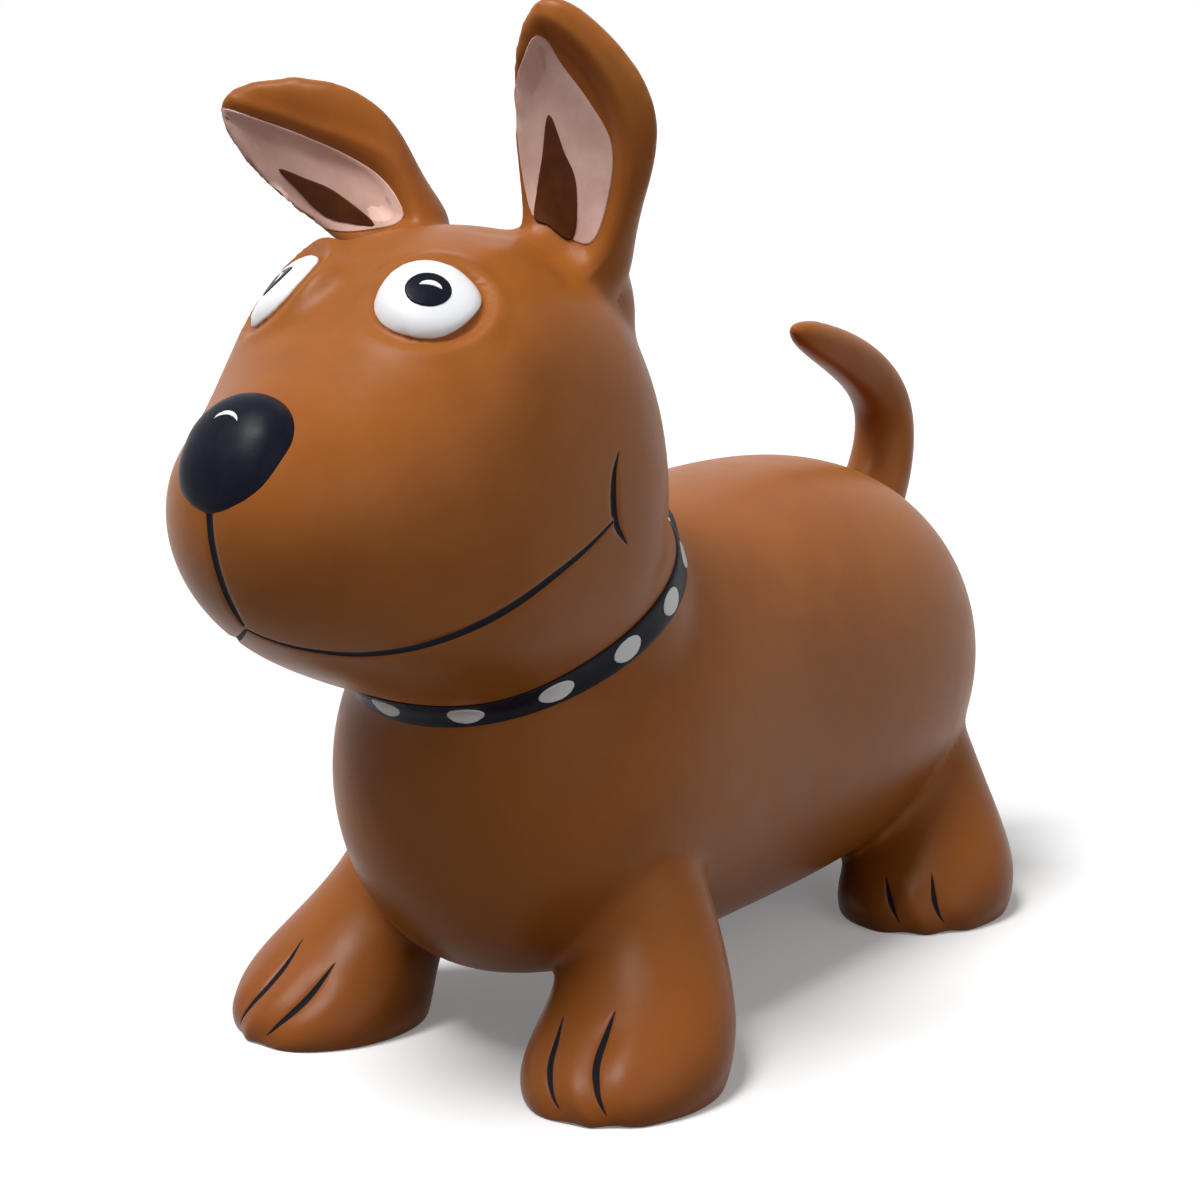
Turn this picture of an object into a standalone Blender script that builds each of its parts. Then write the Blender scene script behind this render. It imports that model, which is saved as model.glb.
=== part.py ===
"""A bouncy ride-on dog: one hollow moulded skin, blown up with air and shut with a push-in plug.

The dog faces -Y with its left side at +X, and it stands on Z = 0. All lengths are in metres.
The skin is one moulding on the real toy. It is divided here where a rider would name its parts:
torso, head, ears, tail and legs. Nose, eyes, mouth, collar, ear linings and toe lines are the
raised and painted places of the moulding, each a thin solid that lies on the skin.
"""

import math

import bpy
import bmesh
from mathutils import Matrix, Vector
from mathutils.bvhtree import BVHTree

# The skin, and how finely the soft form and the drawn lines are made.
SKIN_WALL = 0.0023
GAP = 0.0003
GRID = 0.005
FILLET_PASSES = 10
RING_POINTS = 20
MOULD_TRIANGLES = 3700
CORE_TRIANGLES = 1500
BALL_RINGS = 16
NOSE_TURNS = 28
OVAL_POINTS = 24
SMALL_OVAL_POINTS = 16
TINY_OVAL_POINTS = 12
LINE_STEPS = 2

# The torso, from the chest to the rump.
BODY_LENGTH = 0.451
BODY_WIDTH = 0.192
BODY_HEIGHT = 0.224
BELLY_HEIGHT = 0.032
BODY_FRONT = -0.168

# The head, from the muzzle to the nape, and how far ahead of the chest it reaches.
HEAD_LENGTH = 0.264
HEAD_WIDTH = 0.178
HEAD_HEIGHT = 0.236
HEAD_REACH = 0.136

# The neck, measured across the collar that lies round it.
NECK_WIDTH = 0.161
NECK_DEPTH = 0.178
NECK_HEIGHT = 0.120
COLLAR_TILT_DEGREES = 24.5

# The ears: the left one stands up, the right one leans out.
EAR_LENGTH = 0.140
EAR_WIDTH = 0.066
EAR_THICKNESS = 0.036
EAR_JOINT_RADIUS = 0.048

# The tail, from where it leaves the rump.
TAIL_LENGTH = 0.185
TAIL_THICKNESS = 0.040
TAIL_JOINT_RADIUS = 0.042

# The legs and paws.
LEG_HEIGHT = 0.125
PAW_LENGTH = 0.106
PAW_WIDTH = 0.096
FRONT_STANCE = 0.173
REAR_STANCE = 0.158
LEG_PARTING_RADIUS = 0.074

# The painted places: how far each stands proud, and their outlines.
PAINT_RELIEF = 0.0010
EYE_WIDTH = 0.0465
EYE_HEIGHT = 0.052
PUPIL_WIDTH = 0.0200
PUPIL_HEIGHT = 0.0205
EYE_MOUND_DEPTH = 0.026
EYE_GLINT_WIDTH = 0.0100
GLINT_THICKNESS = 0.0028
NOSE_WIDTH = 0.048
NOSE_HEIGHT = 0.050
NOSE_DEPTH = 0.039
NOSE_GLINT_WIDTH = 0.014
MOUTH_LINE = 0.0034
TOE_LINE_WIDTH = 0.0038
COLLAR_WIDTH = 0.0150
COLLAR_RELIEF = 0.0015
STUD_LENGTH = 0.0175
STUD_WIDTH = 0.0110
STUD_COUNT = 13
STUD_START_DEGREES = 18.2

# The valve in the belly.
VALVE_SETBACK = 0.215
VALVE_OUTER_DIAMETER = 0.024
VALVE_BORE = 0.0100
VALVE_HEIGHT = 0.014
VALVE_STAND = 0.0020
PLUG_HEAD_DIAMETER = 0.020
PLUG_HEAD_THICKNESS = 0.0022
PLUG_LENGTH = 0.016
PLUG_POINT = 0.004

# Shares of the torso: length from the chest, width, top and bottom of its height, squareness.
TORSO_SHARES = (
    (0.000, 0.28, 0.62, 0.30, 2.0),
    (0.030, 0.61, 0.76, 0.13, 2.0),
    (0.090, 0.87, 0.88, 0.04, 2.0),
    (0.190, 0.98, 0.96, -0.01, 2.1),
    (0.330, 0.98, 0.99, -0.045, 2.2),
    (0.480, 0.97, 1.01, -0.05, 2.2),
    (0.630, 1.00, 1.015, -0.055, 2.2),
    (0.770, 1.02, 1.00, -0.04, 2.2),
    (0.880, 0.98, 0.94, 0.00, 2.1),
    (0.955, 0.83, 0.84, 0.10, 2.0),
    (0.990, 0.52, 0.71, 0.25, 2.0),
    (1.000, 0.24, 0.58, 0.39, 2.0),
)
# Shares of the head: length from the muzzle, width, top and bottom of its height, squareness.
HEAD_SHARES = (
    (0.000, 0.10, 0.58, 0.50, 2.0),
    (0.011, 0.21, 0.62, 0.45, 2.0),
    (0.030, 0.32, 0.65, 0.39, 2.0),
    (0.064, 0.45, 0.685, 0.33, 2.0),
    (0.120, 0.57, 0.715, 0.27, 2.0),
    (0.208, 0.72, 0.76, 0.21, 2.1),
    (0.313, 0.86, 0.845, 0.16, 2.3),
    (0.418, 0.97, 0.945, 0.115, 2.7),
    (0.532, 1.01, 0.985, 0.07, 2.6),
    (0.647, 1.02, 1.00, 0.04, 2.5),
    (0.761, 1.01, 0.98, 0.00, 2.4),
    (0.866, 0.93, 0.92, 0.00, 2.1),
    (0.952, 0.72, 0.82, 0.05, 2.0),
    (1.000, 0.40, 0.64, 0.20, 2.0),
)
# Shares of the neck: height above and below its collar, width, depth.
NECK_SHARES = (
    (-0.50, 1.04, 0.98),
    (-0.20, 1.02, 1.00),
    (0.00, 1.00, 1.00),
    (0.20, 0.98, 0.98),
    (0.50, 0.94, 0.90),
)
# Share of the head's length from the collar's middle back to where nothing of the head is left.
NECK_BACK_SHARE = 0.716
# Shares of the torso's height, above its belly, at the lowest place of the head and at the throat.
HEAD_RISE_SHARE = 0.5893
THROAT_SHARE = 0.654
# Shares of the torso's length, back from the chest, at the middle of the front and the rear paws.
FRONT_PAW_SHARE = 0.1042
REAR_PAW_SHARE = 0.8182
# Shares of a leg: height, offset outwards, offset forwards, width, front depth, back depth. The rear legs
# lean less than the front ones, by this share.
REAR_LEAN_SHARE = 0.6
LEG_SHARES = (
    (-0.13, 0.00, 0.00, 0.84, 0.93, 0.84),
    (0.000, 0.00, 0.00, 0.95, 1.06, 0.93),
    (0.090, 0.01, 0.00, 1.02, 1.11, 0.96),
    (0.220, 0.01, -0.08, 0.98, 0.98, 0.93),
    (0.350, -0.04, -0.21, 0.87, 0.77, 0.82),
    (0.500, -0.14, -0.33, 0.80, 0.68, 0.74),
    (0.650, -0.25, -0.40, 0.78, 0.64, 0.72),
    (1.000, -0.42, -0.42, 0.70, 0.60, 0.68),
)
# Shares of an ear: length, width, front depth, back depth, curl outwards.
EAR_SHARES = (
    (0.00, 0.80, 0.66, 0.66, 0.02),
    (0.18, 0.83, 0.52, 0.60, 0.025),
    (0.36, 0.90, 0.30, 0.56, 0.02),
    (0.54, 1.05, 0.16, 0.54, 0.035),
    (0.72, 1.01, 0.12, 0.50, 0.02),
    (0.86, 0.76, 0.12, 0.42, -0.015),
    (0.96, 0.42, 0.12, 0.28, -0.05),
    (1.00, 0.16, 0.08, 0.14, -0.07),
)
# Shares of the tail: length backwards and upwards from its root, thickness.
TAIL_SHARES = (
    (-0.26, -0.22, 1.30),
    (-0.10, -0.12, 1.15),
    (0.045, 0.00, 1.00),
    (0.120, 0.15, 0.94),
    (0.105, 0.30, 0.88),
    (-0.055, 0.42, 0.79),
    (-0.29, 0.51, 0.65),
    (-0.52, 0.58, 0.36),
)
# Share of the torso's height at the tail's root, and which way the tail leaves there.
TAIL_ROOT_SHARE = 0.83
TAIL_HEADING = (0.0, 0.5, 1.0)
# Shares of the head at each ear's root: width from the middle, length, height.
EAR_ROOT_SHARES = {"left": (0.245, 0.7805, 0.856), "right": (-0.215, 0.7805, 0.900)}
# How long and how broad each ear is, which way it points and which way its inside faces.
EAR_REACH_SHARES = {"left": 1.00, "right": 0.90}
EAR_BREADTH_SHARES = {"left": 1.00, "right": 0.92}
EAR_HEADINGS = {"left": (0.165, -0.28, 1.00), "right": (-1.00, -0.62, 1.08)}
EAR_FACINGS = {"left": (0.25, -1.00, -0.10), "right": (0.40, -1.00, -0.10)}
# Shares of an ear's width and thickness in the oval that parts it, and how far off its middle that lies.
EAR_REGION_SHARES = (1.20, 1.25)
EAR_REGION_OFFSET_SHARES = (0.12, 0.14)
# Shares of the tail's thickness and length in the oval that parts it.
TAIL_REGION_SHARES = (1.7, 1.5)
# Where that parting starts above each joint, as a share of the joint's ball.
EAR_START_SHARE = 0.76
TAIL_START_SHARE = 0.57
# Share of a leg's height at the middle of the ball that parts it.
LEG_PARTING_SHARE = 0.16
# Shares of an ear's length and width along the outline of its lining, and of the dark fold in it.
LINING_SHARES = {
    "left": (
        (0.22, 0.17), (0.26, -0.13), (0.30, -0.28), (0.48, -0.38), (0.68, -0.40), (0.79, -0.31),
        (0.88, -0.20), (0.79, 0.01), (0.67, 0.22), (0.53, 0.33), (0.37, 0.30),
    ),
    "right": (
        (0.19, 0.17), (0.27, -0.08), (0.37, -0.28), (0.47, -0.36), (0.58, -0.38), (0.70, -0.36),
        (0.84, -0.29), (0.95, -0.20), (0.80, -0.03), (0.61, 0.14), (0.48, 0.23), (0.36, 0.28), (0.25, 0.26),
    ),
}
FOLD_SHARES = {
    "left": (
        (0.61, -0.165), (0.50, -0.05), (0.40, 0.05), (0.23, 0.05), (0.26, -0.13), (0.29, -0.25), (0.46, -0.21),
    ),
    "right": (
        (0.66, -0.27), (0.56, -0.17), (0.44, -0.07), (0.25, -0.02), (0.33, -0.18), (0.42, -0.29), (0.56, -0.29),
    ),
}
# Shares of the head at the middle of each eye's mound, and which way the mound faces.
EYE_SHARES = (0.205, 0.403, 0.865)
EYE_FACING = (0.24, -0.62, 0.75)
# Places on the head, as the degrees out from its middle, and degrees above its centre.
EYE_DEGREES = (28.8, 45.5)
PUPIL_DEGREES = (29.2, 45.9)
EYE_GLINT_DEGREES = (30.0, 47.3)
NOSE_GLINT_DEGREES = (6.0, 55.0)
# How much wider than an eye's half its mound is.
EYE_MOUND_SHARE = 0.58
# Shares of the head at its centre and at the nose: length from the muzzle, height.
HEAD_CENTRE_SHARES = (0.647, 0.51)
NOSE_SHARES = (0.0795, 0.631)
NOSE_FACING = (0.0, -0.84, 0.54)
# The mouth: degrees round the muzzle from its middle, and share of the head's height.
SMILE_SHARES = (
    (0.0, 0.318), (3.7, 0.288), (8.0, 0.273), (16.5, 0.258), (28.0, 0.267), (42.5, 0.304), (62.0, 0.373),
    (76.0, 0.417), (84.5, 0.446),
)
CHEEK_SHARES = ((90.0, 0.585), (87.8, 0.545), (87.6, 0.490), (89.5, 0.445), (95.0, 0.405))
LIP_SHARES = ((0.0, 0.530), (0.0, 0.440), (0.0, 0.335))
# How wide a drawn line is at its ends, as a share of its width.
LINE_POINT_SHARE = 0.35
# The toe lines run down over the paw: shares of the paw's width outwards from its middle, of its length
# forwards and of the leg's height, from the top down.
TOE_SHARES = {
    "front": {
        "inner": ((-0.20, 0.22, 0.31), (-0.15, 0.40, 0.19), (-0.06, 0.51, 0.10), (0.00, 0.54, 0.05)),
        "outer": ((0.06, 0.17, 0.36), (0.10, 0.37, 0.23), (0.17, 0.46, 0.13), (0.23, 0.47, 0.05)),
    },
    "rear": {
        "inner": ((-0.02, 0.41, 0.23), (0.05, 0.49, 0.15), (0.10, 0.51, 0.09), (0.13, 0.51, 0.05)),
        "outer": ((0.22, 0.32, 0.26), (0.28, 0.39, 0.17), (0.32, 0.40, 0.10), (0.35, 0.38, 0.05)),
    },
}
# How wide the plug's tip is, as a share of its shank.
PLUG_TIP_SHARE = 0.6


def clear_scene():
    """Remove whatever stands in the scene."""
    for thing in list(bpy.data.objects):
        bpy.data.objects.remove(thing, do_unlink=True)


def section(centre, across, up, half_width, half_up, half_down, squareness=2.0):
    """Points of one closed oval section, a different depth above its centre than below it."""
    points = []
    for step in range(RING_POINTS):
        turn = 2 * math.pi * step / RING_POINTS
        aside = math.copysign(abs(math.cos(turn)) ** (2 / squareness), math.cos(turn))
        rise = math.copysign(abs(math.sin(turn)) ** (2 / squareness), math.sin(turn))
        depth = half_up if rise > 0 else half_down
        points.append(centre + across * aside * half_width + up * rise * depth)
    return points


def loft(mesh, sections):
    """Skin a row of sections into one closed form in the given bmesh."""
    rings = [[mesh.verts.new(point) for point in ring] for ring in sections]
    count = len(rings[0])
    faces = []
    for ring, following in zip(rings, rings[1:]):
        for step in range(count):
            after = (step + 1) % count
            faces.append(mesh.faces.new((ring[step], ring[after], following[after], following[step])))
    faces.append(mesh.faces.new(rings[0]))
    faces.append(mesh.faces.new(rings[-1]))
    bmesh.ops.recalc_face_normals(mesh, faces=faces)


def upright_sections(shares, start, length, width, base, height):
    """Sections that stand square to Y, from shares of a length, a width and a height."""
    rings = []
    for along, broad, top, bottom, squareness in shares:
        half = height * (top - bottom) / 2
        centre = Vector((0, start + along * length, base + height * bottom + half))
        half_width = broad * width / 2
        across, up = Vector((1, 0, 0)), Vector((0, 0, 1))
        rings.append(section(centre, across, up, half_width, half, half, squareness))
    return rings


def torso_height(share):
    """A height on the torso, from a share of its own height."""
    return BELLY_HEIGHT + BODY_HEIGHT * share


def paw_centre(side, share, stance):
    """Middle of a paw's sole."""
    return Vector((side * stance / 2, BODY_FRONT + BODY_LENGTH * share, 0))


def leg_sections(sole, lean):
    """Level sections of one leg, from the sole up into the torso."""
    side = math.copysign(1, sole.x)
    rings = []
    for height, outwards, forwards, broad, front, back in LEG_SHARES:
        offset = Vector((side * outwards * PAW_WIDTH, -forwards * lean * PAW_LENGTH, height * LEG_HEIGHT))
        rings.append(section(sole + offset, Vector((1, 0, 0)), Vector((0, -1, 0)),
                             broad * PAW_WIDTH / 2, front * PAW_LENGTH / 2, back * PAW_LENGTH / 2))
    return rings


def head_point(aside, along, height):
    """A place in the head, from shares of its width, length and height."""
    return Vector((aside * HEAD_WIDTH, BODY_FRONT - HEAD_REACH + along * HEAD_LENGTH,
                   torso_height(HEAD_RISE_SHARE) + height * HEAD_HEIGHT))


def ear_frame(side):
    """An ear's root inside the head: its X runs across the ear, Y along it and Z out of its face."""
    along = Vector(EAR_HEADINGS[side]).normalized()
    across = along.cross(Vector(EAR_FACINGS[side])).normalized()
    turn = Matrix((across, along, across.cross(along))).transposed().to_4x4()
    return Matrix.Translation(head_point(*EAR_ROOT_SHARES[side])) @ turn


def ear_sections(side):
    """Sections along one ear, flatter on the side that it faces."""
    place = ear_frame(side)
    across, _, front = place.to_3x3().transposed()
    reach = EAR_LENGTH * EAR_REACH_SHARES[side]
    half_width = EAR_WIDTH * EAR_BREADTH_SHARES[side] / 2
    rings = []
    for share, broad, fore, aft, curl in EAR_SHARES:
        centre = place @ Vector((curl * reach, share * reach, 0))
        rings.append(section(centre, across, front, broad * half_width, fore * EAR_THICKNESS, aft * EAR_THICKNESS))
    return rings


def neck_frame():
    """The middle of the collar, and its directions across, backwards in its plane and out of it."""
    tilt = math.radians(COLLAR_TILT_DEGREES)
    across = Vector((1, 0, 0))
    back = Vector((0, math.cos(tilt), math.sin(tilt)))
    throat = Vector((0, BODY_FRONT, torso_height(THROAT_SHARE)))
    return throat + back * NECK_DEPTH / 2, across, back, across.cross(back)


def neck_sections():
    """Sections of the neck that lie in the collar's plane and beside it."""
    middle, across, back, out = neck_frame()
    return [section(middle + out * height * NECK_HEIGHT, across, back, broad * NECK_WIDTH / 2,
                    deep * NECK_DEPTH / 2, deep * NECK_DEPTH / 2) for height, broad, deep in NECK_SHARES]


def tail_root():
    """Where the middle of the tail leaves the rump."""
    return Vector((0, BODY_FRONT + BODY_LENGTH - TAIL_THICKNESS / 4, torso_height(TAIL_ROOT_SHARE)))


def tail_sections():
    """Round sections along the tail, which leaves the rump upwards and curls forwards."""
    centres = [tail_root() + Vector((0, back, up)) * TAIL_LENGTH for back, up, _ in TAIL_SHARES]
    rings = []
    for index, (centre, shares) in enumerate(zip(centres, TAIL_SHARES)):
        before = centres[max(index - 1, 0)]
        after = centres[min(index + 1, len(centres) - 1)]
        across = Vector((1, 0, 0))
        up = (after - before).cross(across).normalized()
        radius = shares[2] * TAIL_THICKNESS / 2
        rings.append(section(centre, across, up, radius, radius, radius))
    return rings


def collected(name):
    """A collection of its own in the scene."""
    group = bpy.data.collections.new(name)
    bpy.context.scene.collection.children.link(group)
    return group


def add_object(name, mesh, group):
    """An object for a mesh, in one of the collections."""
    thing = bpy.data.objects.new(name, mesh)
    group.objects.link(thing)
    return thing


def handed_over(mesh, name):
    """The mesh that a bmesh leaves behind when its work is done."""
    data = bpy.data.meshes.new(name)
    mesh.to_mesh(data)
    mesh.free()
    return data


def add_cutter(name, mesh):
    """A cutter: seen as a wire, and left out of renders."""
    thing = add_object(name, mesh, CUTTERS)
    thing.display_type = "WIRE"
    thing.hide_render = True
    return thing


def settled_mesh(thing, name):
    """The mesh of an object as its modifiers leave it."""
    depsgraph = bpy.context.evaluated_depsgraph_get()
    depsgraph.update()
    mesh = bpy.data.meshes.new_from_object(thing.evaluated_get(depsgraph))
    mesh.name = name
    return mesh


def cut(thing, cutter, operation):
    """Add one exact Boolean to an object."""
    step = thing.modifiers.new(cutter.name, "BOOLEAN")
    step.operation = operation
    step.solver = "EXACT"
    step.object = cutter


def joined_forms():
    """All soft forms in one mesh, still overlapping."""
    mesh = bmesh.new()
    loft(mesh, upright_sections(TORSO_SHARES, BODY_FRONT, BODY_LENGTH, BODY_WIDTH, BELLY_HEIGHT,
                                BODY_HEIGHT))
    loft(mesh, upright_sections(HEAD_SHARES, BODY_FRONT - HEAD_REACH, HEAD_LENGTH, HEAD_WIDTH,
                                torso_height(HEAD_RISE_SHARE), HEAD_HEIGHT))
    loft(mesh, neck_sections())
    for corner, sole in SOLES.items():
        loft(mesh, leg_sections(sole, REAR_LEAN_SHARE if "rear" in corner else 1))
    for side in ("left", "right"):
        loft(mesh, ear_sections(side))
    loft(mesh, tail_sections())
    for sign in (-1, 1):
        aside, along, height = EYE_SHARES
        out = Vector((sign * EYE_FACING[0], EYE_FACING[1], EYE_FACING[2]))
        size = (EYE_WIDTH * EYE_MOUND_SHARE, EYE_HEIGHT * EYE_MOUND_SHARE, EYE_MOUND_DEPTH / 2, 1)
        mound = turned_to(head_point(sign * aside, along, height), out) @ Matrix.Diagonal(size)
        bmesh.ops.create_uvsphere(mesh, u_segments=RING_POINTS, v_segments=RING_POINTS // 2, radius=1,
                                  matrix=mound)
    return handed_over(mesh, "forms")


def make_mould():
    """The outer face of the skin: the forms joined, filleted, thinned and cut flat at the soles."""
    form = add_cutter("mould", joined_forms())
    union = form.modifiers.new("union", "REMESH")
    union.mode = "VOXEL"
    union.voxel_size = GRID
    union.use_smooth_shade = True
    fillet = form.modifiers.new("fillet", "SMOOTH")
    fillet.factor = 0.5
    fillet.iterations = FILLET_PASSES
    fine = settled_mesh(form, "fine_mould")
    form.modifiers.clear()
    form.data = fine
    thin(form, MOULD_TRIANGLES)
    mesh = bmesh.new()
    mesh.from_mesh(settled_mesh(form, "thinned_mould"))
    everything = mesh.verts[:] + mesh.edges[:] + mesh.faces[:]
    cut_edges = bmesh.ops.bisect_plane(mesh, geom=everything, plane_co=(0, 0, 0), plane_no=(0, 0, -1),
                                       clear_outer=True)["geom_cut"]
    bmesh.ops.holes_fill(mesh, edges=[item for item in cut_edges if isinstance(item, bmesh.types.BMEdge)])
    bmesh.ops.triangulate(mesh, faces=mesh.faces[:])
    bmesh.ops.recalc_face_normals(mesh, faces=mesh.faces[:])
    form.modifiers.clear()
    form.data = handed_over(mesh, "mould")
    return form


def thin(thing, triangles):
    """Bring an object down to about this many triangles."""
    count = sum(len(face.vertices) - 2 for face in thing.data.polygons)
    fewer = thing.modifiers.new("thin", "DECIMATE")
    fewer.ratio = min(1.0, triangles / count)
    fewer.use_collapse_triangulate = True


def offset_mesh(source, distance, name):
    """A copy of a mesh whose points are moved out along their normals."""
    mesh = source.copy()
    mesh.name = name
    normals = [Vector(normal.vector) for normal in mesh.vertex_normals]
    for vertex, normal in zip(mesh.vertices, normals):
        vertex.co += normal * distance
    return mesh


def turned_to(centre, axis, upwards=Vector((0, 0, 1))):
    """A place and a turn whose Z runs along an axis and whose Y leans upwards."""
    out = axis.normalized()
    aside = upwards.cross(out).normalized()
    rise = out.cross(aside)
    turn = Matrix((aside, rise, out)).transposed().to_4x4()
    return Matrix.Translation(centre) @ turn


def plate(name, outline, place, below, above):
    """A cutter: a flat outline raised both ways from its own plane."""
    mesh = bmesh.new()
    low = [mesh.verts.new(place @ Vector((x, y, -below))) for x, y in outline]
    high = [mesh.verts.new(place @ Vector((x, y, above))) for x, y in outline]
    count = len(outline)
    mesh.faces.new(low)
    mesh.faces.new(high)
    for step in range(count):
        after = (step + 1) % count
        mesh.faces.new((low[step], low[after], high[after], high[step]))
    bmesh.ops.recalc_face_normals(mesh, faces=mesh.faces[:])
    return add_cutter(name, handed_over(mesh, name))


def oval(width, height, points=OVAL_POINTS):
    """The outline of an oval."""
    turns = [2 * math.pi * step / points for step in range(points)]
    return [(math.cos(turn) * width / 2, math.sin(turn) * height / 2) for turn in turns]


def ball(name, centre, radius):
    """A round cutter."""
    mesh = bmesh.new()
    bmesh.ops.create_uvsphere(mesh, u_segments=2 * BALL_RINGS, v_segments=BALL_RINGS, radius=radius,
                              matrix=Matrix.Translation(centre))
    return add_cutter(name, handed_over(mesh, name))


def finish(name, colour, roughness):
    """A moulded or painted finish."""
    material = bpy.data.materials.new(name)
    material.use_nodes = True
    shader = material.node_tree.nodes["Principled BSDF"]
    shader.inputs["Base Color"].default_value = (*colour, 1)
    shader.inputs["Roughness"].default_value = roughness
    shader.inputs["Metallic"].default_value = 0
    return material


def add_part(name, mesh, material):
    """A finished piece of the dog."""
    thing = add_object(name, mesh, DOG)
    mesh.materials.clear()
    mesh.materials.append(material)
    return thing


def settle(thing):
    """Apply an object's modifiers."""
    mesh = settled_mesh(thing, thing.name)
    thing.modifiers.clear()
    thing.data = mesh
    return thing


clear_scene()
DOG = collected("bouncy_dog")
CUTTERS = collected("cutters")
SOLES = {
    "front_left": paw_centre(1, FRONT_PAW_SHARE, FRONT_STANCE),
    "front_right": paw_centre(-1, FRONT_PAW_SHARE, FRONT_STANCE),
    "rear_left": paw_centre(1, REAR_PAW_SHARE, REAR_STANCE),
    "rear_right": paw_centre(-1, REAR_PAW_SHARE, REAR_STANCE),
}
MOULD = make_mould()

BROWN = finish("brown_skin", (0.30, 0.125, 0.036), 0.42)
NAVY = finish("navy_paint", (0.012, 0.014, 0.024), 0.32)
WHITE = finish("white_paint", (0.85, 0.86, 0.88), 0.40)
PINK = finish("lining_paint", (0.53, 0.33, 0.25), 0.50)
DARK = finish("fold_paint", (0.085, 0.032, 0.010), 0.50)
VALVE = finish("valve_plastic", (0.70, 0.68, 0.62), 0.45)

# The skin: the mould less its core, then parted at the collar, the ears, the tail and the legs.
CORE = add_cutter("core", offset_mesh(MOULD.data, 0, "core"))
thin(CORE, CORE_TRIANGLES)
settle(CORE)
CORE.data = offset_mesh(CORE.data, -SKIN_WALL, "core")
SHELL = add_cutter("shell", MOULD.data.copy())
cut(SHELL, CORE, "DIFFERENCE")
settle(SHELL)

COLLAR_MIDDLE, _, COLLAR_BACK, COLLAR_OUT = neck_frame()
COLLAR_PLACE = turned_to(COLLAR_MIDDLE, COLLAR_OUT, COLLAR_BACK)
NECK_BACK = HEAD_LENGTH * NECK_BACK_SHARE
NECK_BOX = [
    (-HEAD_WIDTH, -HEAD_LENGTH),
    (HEAD_WIDTH, -HEAD_LENGTH),
    (HEAD_WIDTH, NECK_BACK),
    (-HEAD_WIDTH, NECK_BACK),
]


def part_at_collar(name, operation, height):
    """The skin above or below the plane through the middle of the collar."""
    side = plate(name + "_side", NECK_BOX, COLLAR_PLACE, -height, HEAD_LENGTH + HEAD_HEIGHT)
    zone = add_cutter(name, SHELL.data.copy())
    cut(zone, side, operation)
    return settle(zone)


UPPER = part_at_collar("upper_skin", "INTERSECT", GAP / 2)
LOWER = part_at_collar("lower_skin", "DIFFERENCE", -GAP / 2)


def swinging_piece(name, carrier, place, radius, start_share, outline):
    """Part a piece that swings about a ball from what carries it, with two matching cutters."""
    centre = place.translation
    for label, half_gap in (("moving", GAP / 2), ("fixed", -GAP / 2)):
        start = radius * start_share + half_gap
        region = plate(f"{name}_{label}_region", outline, place, -start, BODY_LENGTH)
        cut(region, ball(f"{name}_{label}_ball", centre, radius + half_gap), "DIFFERENCE")
        settle(region)
    piece = add_part(name, carrier.data.copy(), BROWN)
    cut(piece, bpy.data.objects[f"{name}_moving_region"], "INTERSECT")
    settle(piece)
    cut(carrier, bpy.data.objects[f"{name}_fixed_region"], "DIFFERENCE")
    settle(carrier)
    piece.data.transform(Matrix.Translation(-centre))
    piece.location = centre
    return piece


EAR_REGION = oval(EAR_WIDTH * EAR_REGION_SHARES[0], EAR_THICKNESS * EAR_REGION_SHARES[1], SMALL_OVAL_POINTS)
EAR_OVAL = [(x + EAR_WIDTH * EAR_REGION_OFFSET_SHARES[0], y + EAR_THICKNESS * EAR_REGION_OFFSET_SHARES[1])
            for x, y in EAR_REGION]
for side in ("left", "right"):
    upright_ear = ear_frame(side) @ Matrix.Rotation(-math.pi / 2, 4, "X")
    swinging_piece(f"ear_{side}", UPPER, upright_ear, EAR_JOINT_RADIUS, EAR_START_SHARE, EAR_OVAL)
TAIL_REGION = (TAIL_THICKNESS * TAIL_REGION_SHARES[0], TAIL_LENGTH * TAIL_REGION_SHARES[1])
TAIL_OVAL = oval(*TAIL_REGION, SMALL_OVAL_POINTS)
upright_tail = turned_to(tail_root(), Vector(TAIL_HEADING), Vector((0, -1, 0)))
swinging_piece("tail", LOWER, upright_tail, TAIL_JOINT_RADIUS, TAIL_START_SHARE, TAIL_OVAL)
for corner, sole in SOLES.items():
    middle = sole + Vector((0, 0, LEG_HEIGHT * LEG_PARTING_SHARE))
    leg = add_part(f"leg_{corner}", LOWER.data.copy(), BROWN)
    cut(leg, ball(f"leg_{corner}_ball", middle, LEG_PARTING_RADIUS - GAP / 2), "INTERSECT")
    settle(leg)
    cut(LOWER, ball(f"leg_{corner}_hollow", middle, LEG_PARTING_RADIUS + GAP / 2), "DIFFERENCE")
    settle(LOWER)

HEAD = add_part("head", UPPER.data.copy(), BROWN)
TORSO = add_part("torso", LOWER.data.copy(), BROWN)


def surface_tree(mesh):
    """The surface of a mesh, to find where a line meets it."""
    faces = [face.vertices[:] for face in mesh.polygons]
    return BVHTree.FromPolygons([vertex.co for vertex in mesh.vertices], faces)


SURFACE = surface_tree(MOULD.data)
HEAD_CENTRE = head_point(0, *HEAD_CENTRE_SHARES)


def on_skin(start, direction):
    """Where a line from inside the dog leaves its skin, and the skin's slope there."""
    place, normal, _, _ = SURFACE.ray_cast(start, direction.normalized())
    return place, normal


def head_direction(aside_degrees, rise_degrees):
    """A direction out of the head: degrees aside from the muzzle and above it."""
    aside = math.radians(aside_degrees)
    rise = math.radians(rise_degrees)
    return Vector((math.sin(aside) * math.cos(rise), -math.cos(aside) * math.cos(rise), math.sin(rise)))


SKINS = {}


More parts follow.
